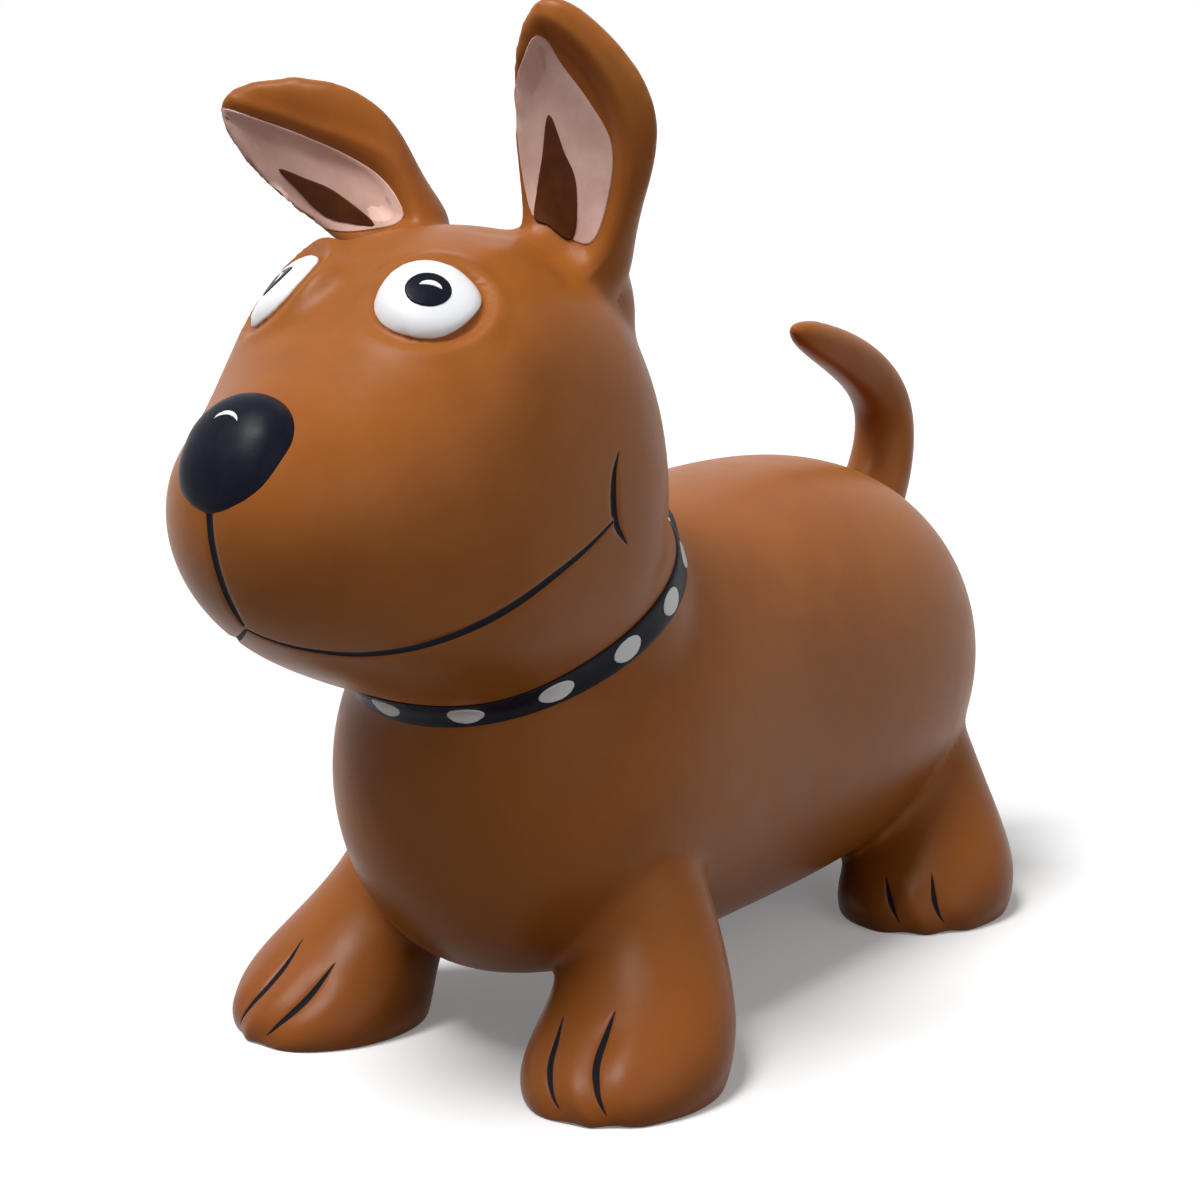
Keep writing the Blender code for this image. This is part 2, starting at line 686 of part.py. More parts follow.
def skin_at(height):
    """The whole skin's outer face raised by a height, as a cutter."""
    if height not in SKINS:
        SKINS[height] = add_cutter(f"skin_face_{len(SKINS)}", offset_mesh(MOULD.data, height, "skin_face"))
    return SKINS[height]


def painted(name, form, inner, outer, material):
    """A painted or raised place: the part of a form that lies between two heights over the skin."""
    patch = add_part(name, form.data.copy(), material)
    cut(patch, skin_at(outer), "INTERSECT")
    cut(patch, skin_at(inner), "DIFFERENCE")
    return settle(patch)


# The nose: a rounded button that stands out from the muzzle.
nose_middle = head_point(0, *NOSE_SHARES)
nose_mesh = bmesh.new()
nose_size = Matrix.Diagonal((NOSE_WIDTH / 2, NOSE_HEIGHT / 2, NOSE_DEPTH / 2, 1))
bmesh.ops.create_uvsphere(nose_mesh, u_segments=NOSE_TURNS, v_segments=BALL_RINGS, radius=1,
                          matrix=turned_to(nose_middle, Vector(NOSE_FACING)) @ nose_size)
NOSE_FORM = add_cutter("nose_form", handed_over(nose_mesh, "nose_form"))
NOSE = add_part("nose", NOSE_FORM.data.copy(), NAVY)
cut(NOSE, skin_at(GAP), "DIFFERENCE")
settle(NOSE)
glint_aim = head_direction(*NOSE_GLINT_DEGREES)
glint = plate("nose_glint_outline", oval(NOSE_GLINT_WIDTH, GLINT_THICKNESS),
              turned_to(nose_middle + glint_aim * NOSE_DEPTH / 2, glint_aim), NOSE_DEPTH / 3,
              NOSE_DEPTH / 3)
NOSE_GLINT = add_part("nose_glint", glint.data.copy(), WHITE)
for name, height, operation in (("outer", GAP + PAINT_RELIEF / 2, "INTERSECT"),
                                ("inner", GAP, "DIFFERENCE")):
    face = add_cutter(f"nose_{name}_face", offset_mesh(NOSE_FORM.data, height, "nose_face"))
    cut(NOSE_GLINT, face, operation)
settle(NOSE_GLINT)

# The eyes: a white oval, a dark pupil on it and a glint on the pupil.
EYE_LAYERS = (
    ("eye_white", EYE_DEGREES, oval(EYE_WIDTH, EYE_HEIGHT), GAP, PAINT_RELIEF, WHITE),
    ("pupil", PUPIL_DEGREES, oval(PUPIL_WIDTH, PUPIL_HEIGHT, SMALL_OVAL_POINTS), 2 * GAP + PAINT_RELIEF,
     PAINT_RELIEF / 2, NAVY),
    ("eye_glint", EYE_GLINT_DEGREES, oval(EYE_GLINT_WIDTH, GLINT_THICKNESS, TINY_OVAL_POINTS),
     3 * GAP + PAINT_RELIEF + PAINT_RELIEF / 2, PAINT_RELIEF / 2, WHITE),
)
for side, sign in (("left", 1), ("right", -1)):
    _, slope = on_skin(HEAD_CENTRE, head_direction(sign * EYE_DEGREES[0], EYE_DEGREES[1]))
    for name, (aside, rise), outline, inner, thickness, material in EYE_LAYERS:
        place, _ = on_skin(HEAD_CENTRE, head_direction(sign * aside, rise))
        form = plate(f"{name}_{side}_outline", outline, turned_to(place, slope), EYE_WIDTH / 2,
                     EYE_WIDTH / 4)
        painted(f"{name}_{side}", form, inner, inner + thickness, material)

# The ears' linings, each with a dark fold. They end short of the joint's ball and swing with their ear.
for side in ("left", "right"):
    place = ear_frame(side)
    reach = EAR_LENGTH * EAR_REACH_SHARES[side]
    ear = bpy.data.objects[f"ear_{side}"]
    breadth = EAR_WIDTH * EAR_BREADTH_SHARES[side]
    for name, shares, inner, material in (("lining", LINING_SHARES[side], GAP, PINK),
                                          ("fold", FOLD_SHARES[side], 2 * GAP + PAINT_RELIEF, DARK)):
        outline = [(aside * breadth, share * reach) for share, aside in shares]
        form = plate(f"ear_{name}_{side}_outline", outline, place, 0, EAR_THICKNESS)
        clear = ball(f"ear_{name}_{side}_ball", ear.location, EAR_JOINT_RADIUS + PAINT_RELIEF)
        cut(form, clear, "DIFFERENCE")
        settle(form)
        sheet = painted(f"ear_{name}_{side}", form, inner, inner + PAINT_RELIEF, material)
        sheet.data.transform(Matrix.Translation(-ear.location))
        sheet.parent = ear


def drawn_through(path, steps):
    """Points on a smooth curve through a row of points."""
    padded = [path[0]] + list(path) + [path[-1]]
    points = []
    for before, start, end, after in zip(padded, padded[1:], padded[2:], padded[3:]):
        for step in range(steps):
            share = step / steps
            straight = start + (end - start) * share
            bend = (end - before) * (share * (1 - share) ** 2)
            bend -= (after - start) * (share ** 2 * (1 - share))
            ease = share * share * (3 - 2 * share)
            points.append(straight + (end - start) * (ease - share) + bend / 2)
    return points + [path[-1]]


def round_muzzle(path):
    """Places on the skin along a line on the head: degrees round the muzzle, and share of its height."""
    places = []
    for degrees, height in drawn_through([Vector(point) for point in path], LINE_STEPS):
        start = Vector((0, HEAD_CENTRE.y, head_point(0, 0, height).z))
        places.append(on_skin(start, head_direction(degrees, 0)))
    return places


def over_paw(sole, path):
    """Places on the skin along a line on a paw, from shares of the paw."""
    side = math.copysign(1, sole.x)
    places = []
    for outwards, ahead, above in drawn_through([Vector(point) for point in path], LINE_STEPS):
        start = sole + Vector((side * outwards * PAW_WIDTH, -ahead * PAW_LENGTH, above * LEG_HEIGHT))
        place, normal, _, _ = SURFACE.find_nearest(start)
        places.append((place, normal))
    return places


def curtain(name, places, width):
    """A cutter that follows a line on the skin, drawn out to a point at both ends."""
    mesh = bmesh.new()
    rings = []
    for index, (place, out) in enumerate(places):
        before = places[max(index - 1, 0)][0]
        after = places[min(index + 1, len(places) - 1)][0]
        side = out.cross(after - before).normalized() * width / 2
        side *= min(1, LINE_POINT_SHARE + min(index, len(places) - 1 - index) / LINE_STEPS)
        depth = out * width
        left, right = place + side, place - side
        rings.append([left + depth, left - depth, right - depth, right + depth])
    loft(mesh, rings)
    bmesh.ops.triangulate(mesh, faces=mesh.faces[:])
    return add_cutter(name, handed_over(mesh, name))


# The mouth: one line right round the muzzle, one up to the nose, and a crease in each cheek.
MOUTH_PATHS = {
    "mouth_line": [(-degrees, height) for degrees, height in SMILE_SHARES[:0:-1]] + list(SMILE_SHARES),
    "lip_line": LIP_SHARES,
    "cheek_crease_left": CHEEK_SHARES,
    "cheek_crease_right": [(-degrees, height) for degrees, height in CHEEK_SHARES],
}
for name, path in MOUTH_PATHS.items():
    form = curtain(f"{name}_path", round_muzzle(path), MOUTH_LINE)
    painted(name, form, GAP, GAP + PAINT_RELIEF / 2, NAVY)

# The toe lines: two on each paw.
for corner, sole in SOLES.items():
    for label, path in TOE_SHARES[corner.split("_")[0]].items():
        form = curtain(f"toe_line_{corner}_{label}_path", over_paw(sole, path), TOE_LINE_WIDTH)
        painted(f"toe_line_{corner}_{label}", form, GAP, GAP + PAINT_RELIEF / 2, NAVY)

# The collar: a raised band round the neck, with ovals on it.
slab = plate("collar_slab", NECK_BOX, COLLAR_PLACE, COLLAR_WIDTH / 2, COLLAR_WIDTH / 2)
painted("collar_band", slab, GAP, GAP + COLLAR_RELIEF, NAVY)
for number in range(STUD_COUNT):
    turn = math.radians(STUD_START_DEGREES) + 2 * math.pi * number / STUD_COUNT
    aim = COLLAR_PLACE.to_3x3() @ Vector((math.sin(turn), -math.cos(turn), 0))
    place, _ = on_skin(COLLAR_MIDDLE, aim)
    form = plate(f"collar_stud_{number + 1:02d}_outline", oval(STUD_LENGTH, STUD_WIDTH, TINY_OVAL_POINTS),
                 turned_to(place, aim, COLLAR_OUT), STUD_LENGTH, STUD_LENGTH)
    stud_foot = 2 * GAP + COLLAR_RELIEF
    painted(f"collar_stud_{number + 1:02d}", form, stud_foot, stud_foot + PAINT_RELIEF / 2, WHITE)


def turned_solid(name, profile, place, material, closed):
    """A solid turned from a profile of radius and height, whose outer side runs downwards."""
    mesh = bmesh.new()
    points = [mesh.verts.new((radius, 0, height)) for radius, height in profile]
    for point, following in zip(points, points[1:]):
        mesh.edges.new((point, following))
    if closed:
        mesh.edges.new((points[-1], points[0]))
    thing = add_part(name, handed_over(mesh, name), material)
    thing.location = place
    turn = thing.modifiers.new("turn", "SCREW")
    turn.steps = BALL_RINGS
    turn.render_steps = BALL_RINGS
    turn.use_merge_vertices = True
    turn.merge_threshold = 0.0001
    return thing


# The valve: a seat bonded into the belly, and the plug that is pushed into it.
chamber = Vector((0, BODY_FRONT + VALVE_SETBACK, torso_height(1 / 2)))
belly, _ = on_skin(chamber, Vector((0, 0, -1)))
seat_bottom = belly.z - VALVE_STAND
seat_radius = VALVE_OUTER_DIAMETER / 2
bore_radius = VALVE_BORE / 2
seat_place = Vector((0, chamber.y, seat_bottom))
seat_profile = [
    (seat_radius, VALVE_HEIGHT),
    (seat_radius, 0),
    (bore_radius, 0),
    (bore_radius, VALVE_HEIGHT),
]
turned_solid("valve_seat", seat_profile, seat_place, VALVE, True)
shank_radius = bore_radius - GAP
head_radius = PLUG_HEAD_DIAMETER / 2
plug_foot = -GAP - PLUG_HEAD_THICKNESS
plug_profile = [
    (0, PLUG_LENGTH),
    (shank_radius * PLUG_TIP_SHARE, PLUG_LENGTH),
    (shank_radius, PLUG_LENGTH - PLUG_POINT),
    (shank_radius, -GAP),
    (head_radius, -GAP),
    (head_radius, plug_foot),
    (0, plug_foot),
]
turned_solid("valve_plug", plug_profile, seat_place, VALVE, False)
hole_width = VALVE_OUTER_DIAMETER + 2 * GAP
hole = plate("valve_hole", oval(hole_width, hole_width, 2 * BALL_RINGS), Matrix.Translation(seat_place),
             VALVE_HEIGHT, VALVE_HEIGHT)
cut(TORSO, hole, "DIFFERENCE")
settle(TORSO)
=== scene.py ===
import math

import bmesh
import bpy
import numpy as np
from mathutils import Matrix, Vector
from mathutils.bvhtree import BVHTree
from mathutils.kdtree import KDTree


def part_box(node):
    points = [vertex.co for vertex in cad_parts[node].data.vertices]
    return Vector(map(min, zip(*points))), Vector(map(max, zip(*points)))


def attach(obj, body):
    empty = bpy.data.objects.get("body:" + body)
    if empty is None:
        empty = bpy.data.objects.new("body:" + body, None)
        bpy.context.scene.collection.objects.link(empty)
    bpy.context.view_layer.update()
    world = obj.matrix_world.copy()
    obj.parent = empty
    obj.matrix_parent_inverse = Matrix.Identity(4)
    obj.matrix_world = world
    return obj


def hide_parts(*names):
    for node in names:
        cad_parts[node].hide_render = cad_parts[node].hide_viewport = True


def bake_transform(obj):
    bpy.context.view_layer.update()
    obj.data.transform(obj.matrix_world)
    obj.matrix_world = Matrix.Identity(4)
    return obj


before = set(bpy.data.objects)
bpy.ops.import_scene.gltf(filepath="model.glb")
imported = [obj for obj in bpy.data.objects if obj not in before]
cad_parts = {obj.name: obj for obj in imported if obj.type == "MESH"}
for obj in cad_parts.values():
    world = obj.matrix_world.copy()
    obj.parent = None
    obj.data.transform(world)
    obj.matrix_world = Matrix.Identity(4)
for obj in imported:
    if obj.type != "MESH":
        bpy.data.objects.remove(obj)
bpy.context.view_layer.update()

bpy.ops.object.select_all(action="DESELECT")

# The moulded skin
# One hollow bag of soft PVC, cast in a turning mould and blown up with air. Torso, head, neck, legs, ears
# and tail are swellings of the same skin, so they run into each other with broad fillets and no seam.
FORM_POINTS = 24
FORM_FULLNESS = 1.0115
SKIN_GRID = 0.0027
FILLET_PASSES = 35
# Rounding at the foot of a paw, the share of it that the sole sinks, and how high up it is felt.
SOLE_ROUNDING = 0.0022
SOLE_SINK = 0.08
SOLE_REACH = 0.02

BODY_FRONT = -0.168
BODY_LENGTH = 0.451
BODY_WIDTH = 0.192
BODY_HEIGHT = 0.224
BELLY_HEIGHT = 0.032
# Length from the chest, width, top, bottom, squareness, all but the last as shares of the torso.
TORSO_FORM = (
    (0.000, 0.28, 0.62, 0.30, 2.0),
    (0.030, 0.61, 0.76, 0.13, 2.0),
    (0.090, 0.87, 0.88, 0.04, 2.0),
    (0.190, 0.98, 0.96, -0.01, 2.1),
    (0.330, 0.98, 0.99, -0.045, 2.2),
    (0.480, 0.97, 1.01, -0.05, 2.2),
    (0.630, 1.00, 1.015, -0.055, 2.2),
    (0.770, 1.02, 1.00, -0.04, 2.2),
    (0.880, 0.98, 0.94, 0.00, 2.1),
    (0.955, 0.83, 0.84, 0.10, 2.0),
    (0.990, 0.52, 0.71, 0.25, 2.0),
    (1.000, 0.24, 0.58, 0.39, 2.0),
)
HEAD_FRONT = -0.304
HEAD_BASE = 0.164
HEAD_LENGTH = 0.264
HEAD_WIDTH = 0.178
HEAD_HEIGHT = 0.236
HEAD_FORM = (
    (0.000, 0.10, 0.58, 0.50, 2.0),
    (0.011, 0.21, 0.62, 0.45, 2.0),
    (0.030, 0.32, 0.65, 0.39, 2.0),
    (0.064, 0.45, 0.685, 0.33, 2.0),
    (0.120, 0.57, 0.715, 0.27, 2.0),
    (0.208, 0.72, 0.76, 0.21, 2.1),
    (0.313, 0.86, 0.845, 0.16, 2.3),
    (0.418, 0.97, 0.945, 0.115, 2.7),
    (0.532, 1.01, 0.985, 0.07, 2.6),
    (0.647, 1.02, 1.00, 0.04, 2.5),
    (0.761, 1.01, 0.98, 0.00, 2.4),
    (0.866, 0.93, 0.92, 0.00, 2.1),
    (0.952, 0.72, 0.82, 0.05, 2.0),
    (1.000, 0.40, 0.64, 0.20, 2.0),
)
NECK_WIDTH = 0.161
NECK_DEPTH = 0.178
NECK_HEIGHT = 0.120
NECK_MIDDLE = Vector((0, -0.0870, 0.2154))
NECK_TILT = math.radians(24.5)
# Height from the neck's middle, width and depth.
NECK_FORM = (
    (-0.50, 1.04, 0.98),
    (-0.20, 1.02, 1.00),
    (0.00, 1.00, 1.00),
    (0.20, 0.98, 0.98),
    (0.50, 0.94, 0.90),
)
PAW_LENGTH = 0.106
PAW_WIDTH = 0.096
LEG_HEIGHT = 0.125
REAR_LEAN = 0.6
SOLES = {
    "front_left": Vector((0.0865, -0.121, 0)),
    "front_right": Vector((-0.0865, -0.121, 0)),
    "rear_left": Vector((0.079, 0.201, 0)),
    "rear_right": Vector((-0.079, 0.201, 0)),
}
# Height, outwards, forwards, width, front and back depth of a leg.
LEG_FORM = (
    (-0.13, 0.00, 0.00, 0.84, 0.93, 0.84),
    (0.000, 0.00, 0.00, 0.95, 1.06, 0.93),
    (0.090, 0.01, 0.00, 1.02, 1.11, 0.96),
    (0.220, 0.01, -0.08, 0.98, 0.98, 0.93),
    (0.350, -0.04, -0.21, 0.87, 0.77, 0.82),
    (0.500, -0.14, -0.33, 0.80, 0.68, 0.74),
    (0.650, -0.25, -0.40, 0.78, 0.64, 0.72),
    (1.000, -0.42, -0.42, 0.70, 0.60, 0.68),
)
EAR_LENGTH = {"left": 0.140, "right": 0.126}
EAR_WIDTH = {"left": 0.066, "right": 0.0607}
EAR_THICKNESS = 0.036
EAR_ROOT = {
    "left": Vector((0.04361, -0.09796, 0.36602)),
    "right": Vector((-0.03827, -0.09796, 0.37640)),
}
EAR_HEADING = {"left": (0.165, -0.28, 1.00), "right": (-1.00, -0.62, 1.08)}
EAR_FACING = {"left": (0.25, -1.00, -0.10), "right": (0.40, -1.00, -0.10)}
# Length, width, front and back depth and outward curl of an ear.
EAR_FORM = (
    (0.00, 0.76, 0.66, 0.66, 0.01),
    (0.18, 0.75, 0.52, 0.60, 0.018),
    (0.36, 0.92, 0.30, 0.56, 0.026),
    (0.54, 1.09, 0.16, 0.54, 0.045),
    (0.72, 1.05, 0.12, 0.50, 0.030),
    (0.86, 0.76, 0.12, 0.42, -0.015),
    (0.96, 0.42, 0.12, 0.28, -0.05),
    (1.00, 0.16, 0.08, 0.14, -0.07),
)
TAIL_ROOT = Vector((0, 0.273, 0.21792))
TAIL_LENGTH = 0.185
TAIL_THICKNESS = 0.040
# Backwards and upwards from the root, and thickness.
TAIL_FORM = (
    (-0.26, -0.22, 1.30),
    (-0.10, -0.12, 1.15),
    (0.045, 0.00, 1.00),
    (0.120, 0.15, 0.94),
    (0.105, 0.30, 0.88),
    (-0.055, 0.42, 0.79),
    (-0.29, 0.51, 0.65),
    (-0.52, 0.58, 0.36),
)
# Half sizes of the low mound under each eye, its place as shares of the head, and the way that it faces.
EYE_MOUND = {"left": (0.027, 0.030, 0.013), "right": (0.027, 0.030, 0.0105)}
EYE_PLACE = (0.205, 0.403, 0.865)
EYE_LEAN = {"left": (0.53, -0.45, 0.72), "right": (-0.56, -0.34, 0.755)}
# Half sizes and place of the swelling where an ear's root runs into the neck.
EAR_SWELL = (0.022, 0.022, 0.036)
EAR_SWELL_PLACE = (0.0445, -0.0885, 0.357)


def oval_ring(centre, across, up, half_width, half_up, half_down, squareness=2.0):
    """Points round one cross-section of a form, deeper on one side of its centre than on the other."""
    points = []
    for step in range(FORM_POINTS):
        turn = 2 * math.pi * step / FORM_POINTS
        aside = math.copysign(abs(math.cos(turn)) ** (2 / squareness), math.cos(turn))
        rise = math.copysign(abs(math.sin(turn)) ** (2 / squareness), math.sin(turn))
        depth = half_up if rise > 0 else half_down
        points.append(centre + (across * aside * half_width + up * rise * depth) * FORM_FULLNESS)
    return points


def face_outwards():
    """Point all faces of the piece in hand outwards."""
    bpy.ops.object.mode_set(mode="EDIT")
    bpy.ops.mesh.select_all(action="SELECT")
    bpy.ops.mesh.normals_make_consistent(inside=False)
    bpy.ops.object.mode_set(mode="OBJECT")


def drawn_out(name, rings):
    """A closed form: one ring of points drawn out through all that follow, and shut at both ends."""
    bpy.ops.mesh.primitive_circle_add(vertices=len(rings[0]), radius=1, fill_type="NGON")
    form = bpy.context.object
    form.name = form.data.name = name
    bpy.ops.object.mode_set(mode="EDIT")
    mesh = bmesh.from_edit_mesh(form.data)
    places = {tuple(vertex.co): index for index, vertex in enumerate(mesh.verts)}
    for number, ring in enumerate(rings):
        if number:
            bpy.ops.mesh.extrude_region_move()
        mesh = bmesh.from_edit_mesh(form.data)
        moved = {}
        for vertex in mesh.verts:
            if vertex.select:
                index = places[tuple(vertex.co)]
                vertex.co = ring[index]
                moved[tuple(vertex.co)] = index
        places = moved
    face_outwards()
    bpy.ops.object.shade_smooth()
    return form


def worked(piece, kind, **settings):
    """Put one modifier on a piece and apply it."""
    bpy.context.view_layer.objects.active = piece
    step = piece.modifiers.new(kind.lower(), kind)
    for name, value in settings.items():
        setattr(step, name, value)
    bpy.ops.object.modifier_apply(modifier=step.name)


def barrel(name, shares, front, length, width, base, height):
    """A form whose sections stand upright, one behind the other."""
    rings = []
    for along, broad, top, bottom, squareness in shares:
        half = height * (top - bottom) / 2
        centre = Vector((0, front + along * length, base + height * bottom + half))
        rings.append(oval_ring(centre, Vector((1, 0, 0)), Vector((0, 0, 1)), broad * width / 2, half, half,
                               squareness))
    return drawn_out(name, rings)


def ear_place(side):
    """An ear's root: its X runs across the ear, Y along it and Z out of its face."""
    along = Vector(EAR_HEADING[side]).normalized()
    across = along.cross(Vector(EAR_FACING[side])).normalized()
    turned_to = Matrix((across, along, across.cross(along))).transposed()
    return Matrix.Translation(EAR_ROOT[side]) @ turned_to.to_4x4()


def facing(centre, axis, upwards=Vector((0, 0, 1))):
    """A place whose Z runs along an axis and whose Y leans upwards."""
    out = Vector(axis).normalized()
    aside = upwards.cross(out).normalized()
    return Matrix.Translation(centre) @ Matrix((aside, out.cross(aside), out)).transposed().to_4x4()


def swelling(place, half_sizes):
    """An egg-shaped form at a place, with its half sizes along the place's own axes."""
    bpy.ops.mesh.primitive_uv_sphere_add(segments=48, ring_count=24, radius=1)
    egg = bpy.context.object
    egg.data.transform(place @ Matrix.Diagonal((*half_sizes, 1)))
    return egg


forms = [
    barrel("torso_form", TORSO_FORM, BODY_FRONT, BODY_LENGTH, BODY_WIDTH, BELLY_HEIGHT, BODY_HEIGHT),
    barrel("head_form", HEAD_FORM, HEAD_FRONT, HEAD_LENGTH, HEAD_WIDTH, HEAD_BASE, HEAD_HEIGHT),
]
neck_back = Vector((0, math.cos(NECK_TILT), math.sin(NECK_TILT)))
neck_out = Vector((0, -math.sin(NECK_TILT), math.cos(NECK_TILT)))
forms.append(drawn_out("neck_form", [
    oval_ring(NECK_MIDDLE + neck_out * height * NECK_HEIGHT, Vector((1, 0, 0)), neck_back,
              broad * NECK_WIDTH / 2, deep * NECK_DEPTH / 2, deep * NECK_DEPTH / 2)
    for height, broad, deep in NECK_FORM]))
for corner, sole in SOLES.items():
    side = math.copysign(1, sole.x)
    lean = REAR_LEAN if "rear" in corner else 1
    forms.append(drawn_out(f"leg_form_{corner}", [
        oval_ring(sole + Vector((side * outwards * PAW_WIDTH, -forwards * lean * PAW_LENGTH,
                                 height * LEG_HEIGHT)),
                  Vector((1, 0, 0)), Vector((0, -1, 0)), broad * PAW_WIDTH / 2, front * PAW_LENGTH / 2,
                  back * PAW_LENGTH / 2)
        for height, outwards, forwards, broad, front, back in LEG_FORM]))
for side, length in EAR_LENGTH.items():
    place = ear_place(side)
    across, along, front = place.to_3x3().transposed()
    forms.append(drawn_out(f"ear_form_{side}", [
        oval_ring(place @ Vector((curl * length, share * length, 0)), across, front,
                  broad * EAR_WIDTH[side] / 2, fore * EAR_THICKNESS, aft * EAR_THICKNESS)
        for share, broad, fore, aft, curl in EAR_FORM]))
tail_centres = [TAIL_ROOT + Vector((0, back, up)) * TAIL_LENGTH for back, up, _ in TAIL_FORM]
tail_rings = []
for index, (centre, (_, _, thick)) in enumerate(zip(tail_centres, TAIL_FORM)):
    heading = tail_centres[min(index + 1, len(TAIL_FORM) - 1)] - tail_centres[max(index - 1, 0)]
    upright = heading.cross(Vector((1, 0, 0))).normalized()
    radius = thick * TAIL_THICKNESS / 2
    tail_rings.append(oval_ring(centre, Vector((1, 0, 0)), upright, radius, radius, radius))
forms.append(drawn_out("tail_form", tail_rings))
for form in forms:
    worked(form, "SUBSURF", levels=2, render_levels=2)
for side, sign in (("right", -1), ("left", 1)):
    middle = Vector((sign * EYE_PLACE[0] * HEAD_WIDTH, HEAD_FRONT + EYE_PLACE[1] * HEAD_LENGTH,
                     HEAD_BASE + EYE_PLACE[2] * HEAD_HEIGHT))
    forms.append(swelling(facing(middle, EYE_LEAN[side]), EYE_MOUND[side]))
    x, y, z = EAR_SWELL_PLACE
    forms.append(swelling(Matrix.Translation((sign * x, y, z)), EAR_SWELL))
bpy.ops.object.select_all(action="DESELECT")
for form in forms:
    form.select_set(True)
bpy.context.view_layer.objects.active = forms[0]
bpy.ops.object.join()
skin = bpy.context.object
skin.name = skin.data.name = "moulded_skin"
worked(skin, "REMESH", mode="VOXEL", voxel_size=SKIN_GRID, use_smooth_shade=True)
worked(skin, "SMOOTH", factor=0.5, iterations=FILLET_PASSES)


def points_of(piece):
    """The places of a piece's points, one row each."""
    flat = np.empty(len(piece.data.vertices) * 3)
    piece.data.vertices.foreach_get("co", flat)
    return flat.reshape(-1, 3)


def slopes_of(piece):
    """The outward direction at each point of a piece."""
    flat = np.empty(len(piece.data.vertices) * 3)
    piece.data.vertex_normals.foreach_get("vector", flat)
    return flat.reshape(-1, 3)


def move_points(piece, places):
    """Put a piece's points at new places."""
    piece.data.vertices.foreach_set("co", np.ascontiguousarray(places).ravel())
    piece.data.update()


# The paws stand flat, with the mould's small rounding at the foot of each.
places = points_of(skin)
low = places[:, 2] < SOLE_REACH
height = places[low, 2]
places[low, 2] = (height + np.sqrt(height ** 2 + SOLE_ROUNDING ** 2)) / 2 - SOLE_ROUNDING * SOLE_SINK
places[:, 2] = np.maximum(places[:, 2], 0)
move_points(skin, places)

# The modelled face and ears
# Where the mould is worked finer than the plain swellings: a soft rim and a shallow moat round each eye, a
# brow beside it, dents and folds between eyes and ears, and an ear's face hollowed inside a rolled edge.
EYE_WIDTH = 0.0450
EYE_HEIGHT = 0.0417
EYE_DEGREES = {"left": (29.6, 47.7), "right": (-34.6, 47.6)}
HEAD_CENTRE = Vector((0, HEAD_FRONT + 0.647 * HEAD_LENGTH, HEAD_BASE + 0.51 * HEAD_HEIGHT))
# Distance outside the eye, breadth and rise of its moat and of its rim.
EYE_EDGES = ((0.0024, 0.0032, -0.0032), (0.0088, 0.0045, 0.0003))
EYE_REACH = 0.045
# The brow is a low ridge along the outer and upper side of the eye: its rise, its distance outside the eye,
# its breadth, and how much it keeps to the outer and to the upper side.
BROW_RISE = {"left": 0.0010, "right": 0.0042}
BROW_DISTANCE = 0.0075
BROW_BREADTH = 0.0055
BROW_OUTER = 1.3
BROW_UPPER = 0.7
# Place, reach and rise of the small dents and folds of the head, first those of one brow alone, and then
# those that both sides have, as they lie on the left.
BROW_FOLDS = {
    "left": (((0.0531, -0.1745, 0.3812), 0.012, -0.0020), ((0.0451, -0.1594, 0.3885), 0.010, 0.0017)),
    "right": (((-0.0560, -0.1850, 0.3860), 0.016, 0.0030), ((-0.0350, -0.1780, 0.3900), 0.013, 0.0026)),
}
FOLDS = (
    ((0.0535, -0.1255, 0.3890), 0.010, -0.0024),
    ((0.0640, -0.1330, 0.3780), 0.009, -0.0014),
    ((0.0230, -0.1350, 0.3990), 0.010, -0.0014),
    ((0.0751, -0.1874, 0.3513), 0.016, 0.0012),
)
# Share along the ear and share of its width, round the hollow of its face.
HOLLOW = {
    "left": ((0.16, 0.20), (0.21, -0.16), (0.28, -0.32), (0.48, -0.42), (0.69, -0.44), (0.82, -0.34),
             (0.92, -0.20), (0.86, 0.05), (0.73, 0.28), (0.56, 0.40), (0.34, 0.38)),
    "right": ((0.14, 0.20), (0.22, -0.16), (0.35, -0.38), (0.47, -0.47), (0.58, -0.50), (0.71, -0.48),
              (0.85, -0.38), (0.98, -0.22), (0.82, 0.00), (0.63, 0.17), (0.49, 0.27), (0.35, 0.33),
              (0.22, 0.30)),
}
HOLLOW_DEPTH = 0.0052
HOLLOW_SLOPE = 0.0100
HOLLOW_LIP = 0.0011
HOLLOW_LIP_REACH = 0.003
HOLLOW_BORDER = 0.004
HOLLOW_LIMIT = 0.02
# How steeply a place has to face the ear's front to belong fully to the ear's face.
FACE_SLOPE = 0.4
# The right ear's lobe: its rise, its place as shares of the ear's width and length, its reach across the ear,
# and how much it is drawn out along it.
LOBE_RISE = {"left": 0.0, "right": 0.0022}
LOBE_ACROSS = 0.30
LOBE_ALONG = 0.70
LOBE_REACH = 0.011
LOBE_STRETCH = 0.5
# The right ear's fuller side: its rise, its share along the ear, its reach, and how soon it starts.
SIDE_SWELL = {"left": 0.0, "right": 0.0042}
SIDE_ALONG = 0.42
SIDE_REACH = 0.026
SIDE_START = 2.5


def eased(share):
    """A share brought smoothly from nothing to one."""
    share = np.clip(share, 0, 1)
    return share * share * (3 - 2 * share)


def hump(distance, reach):
    """A share that is one at no distance and fades to nothing past a reach."""
    return np.exp(-(distance / reach) ** 2)


def surface_of(piece):
    """The surface of a piece, to find where a line meets it."""
    points = [vertex.co for vertex in piece.data.vertices]
    return BVHTree.FromPolygons(points, [face.vertices[:] for face in piece.data.polygons])


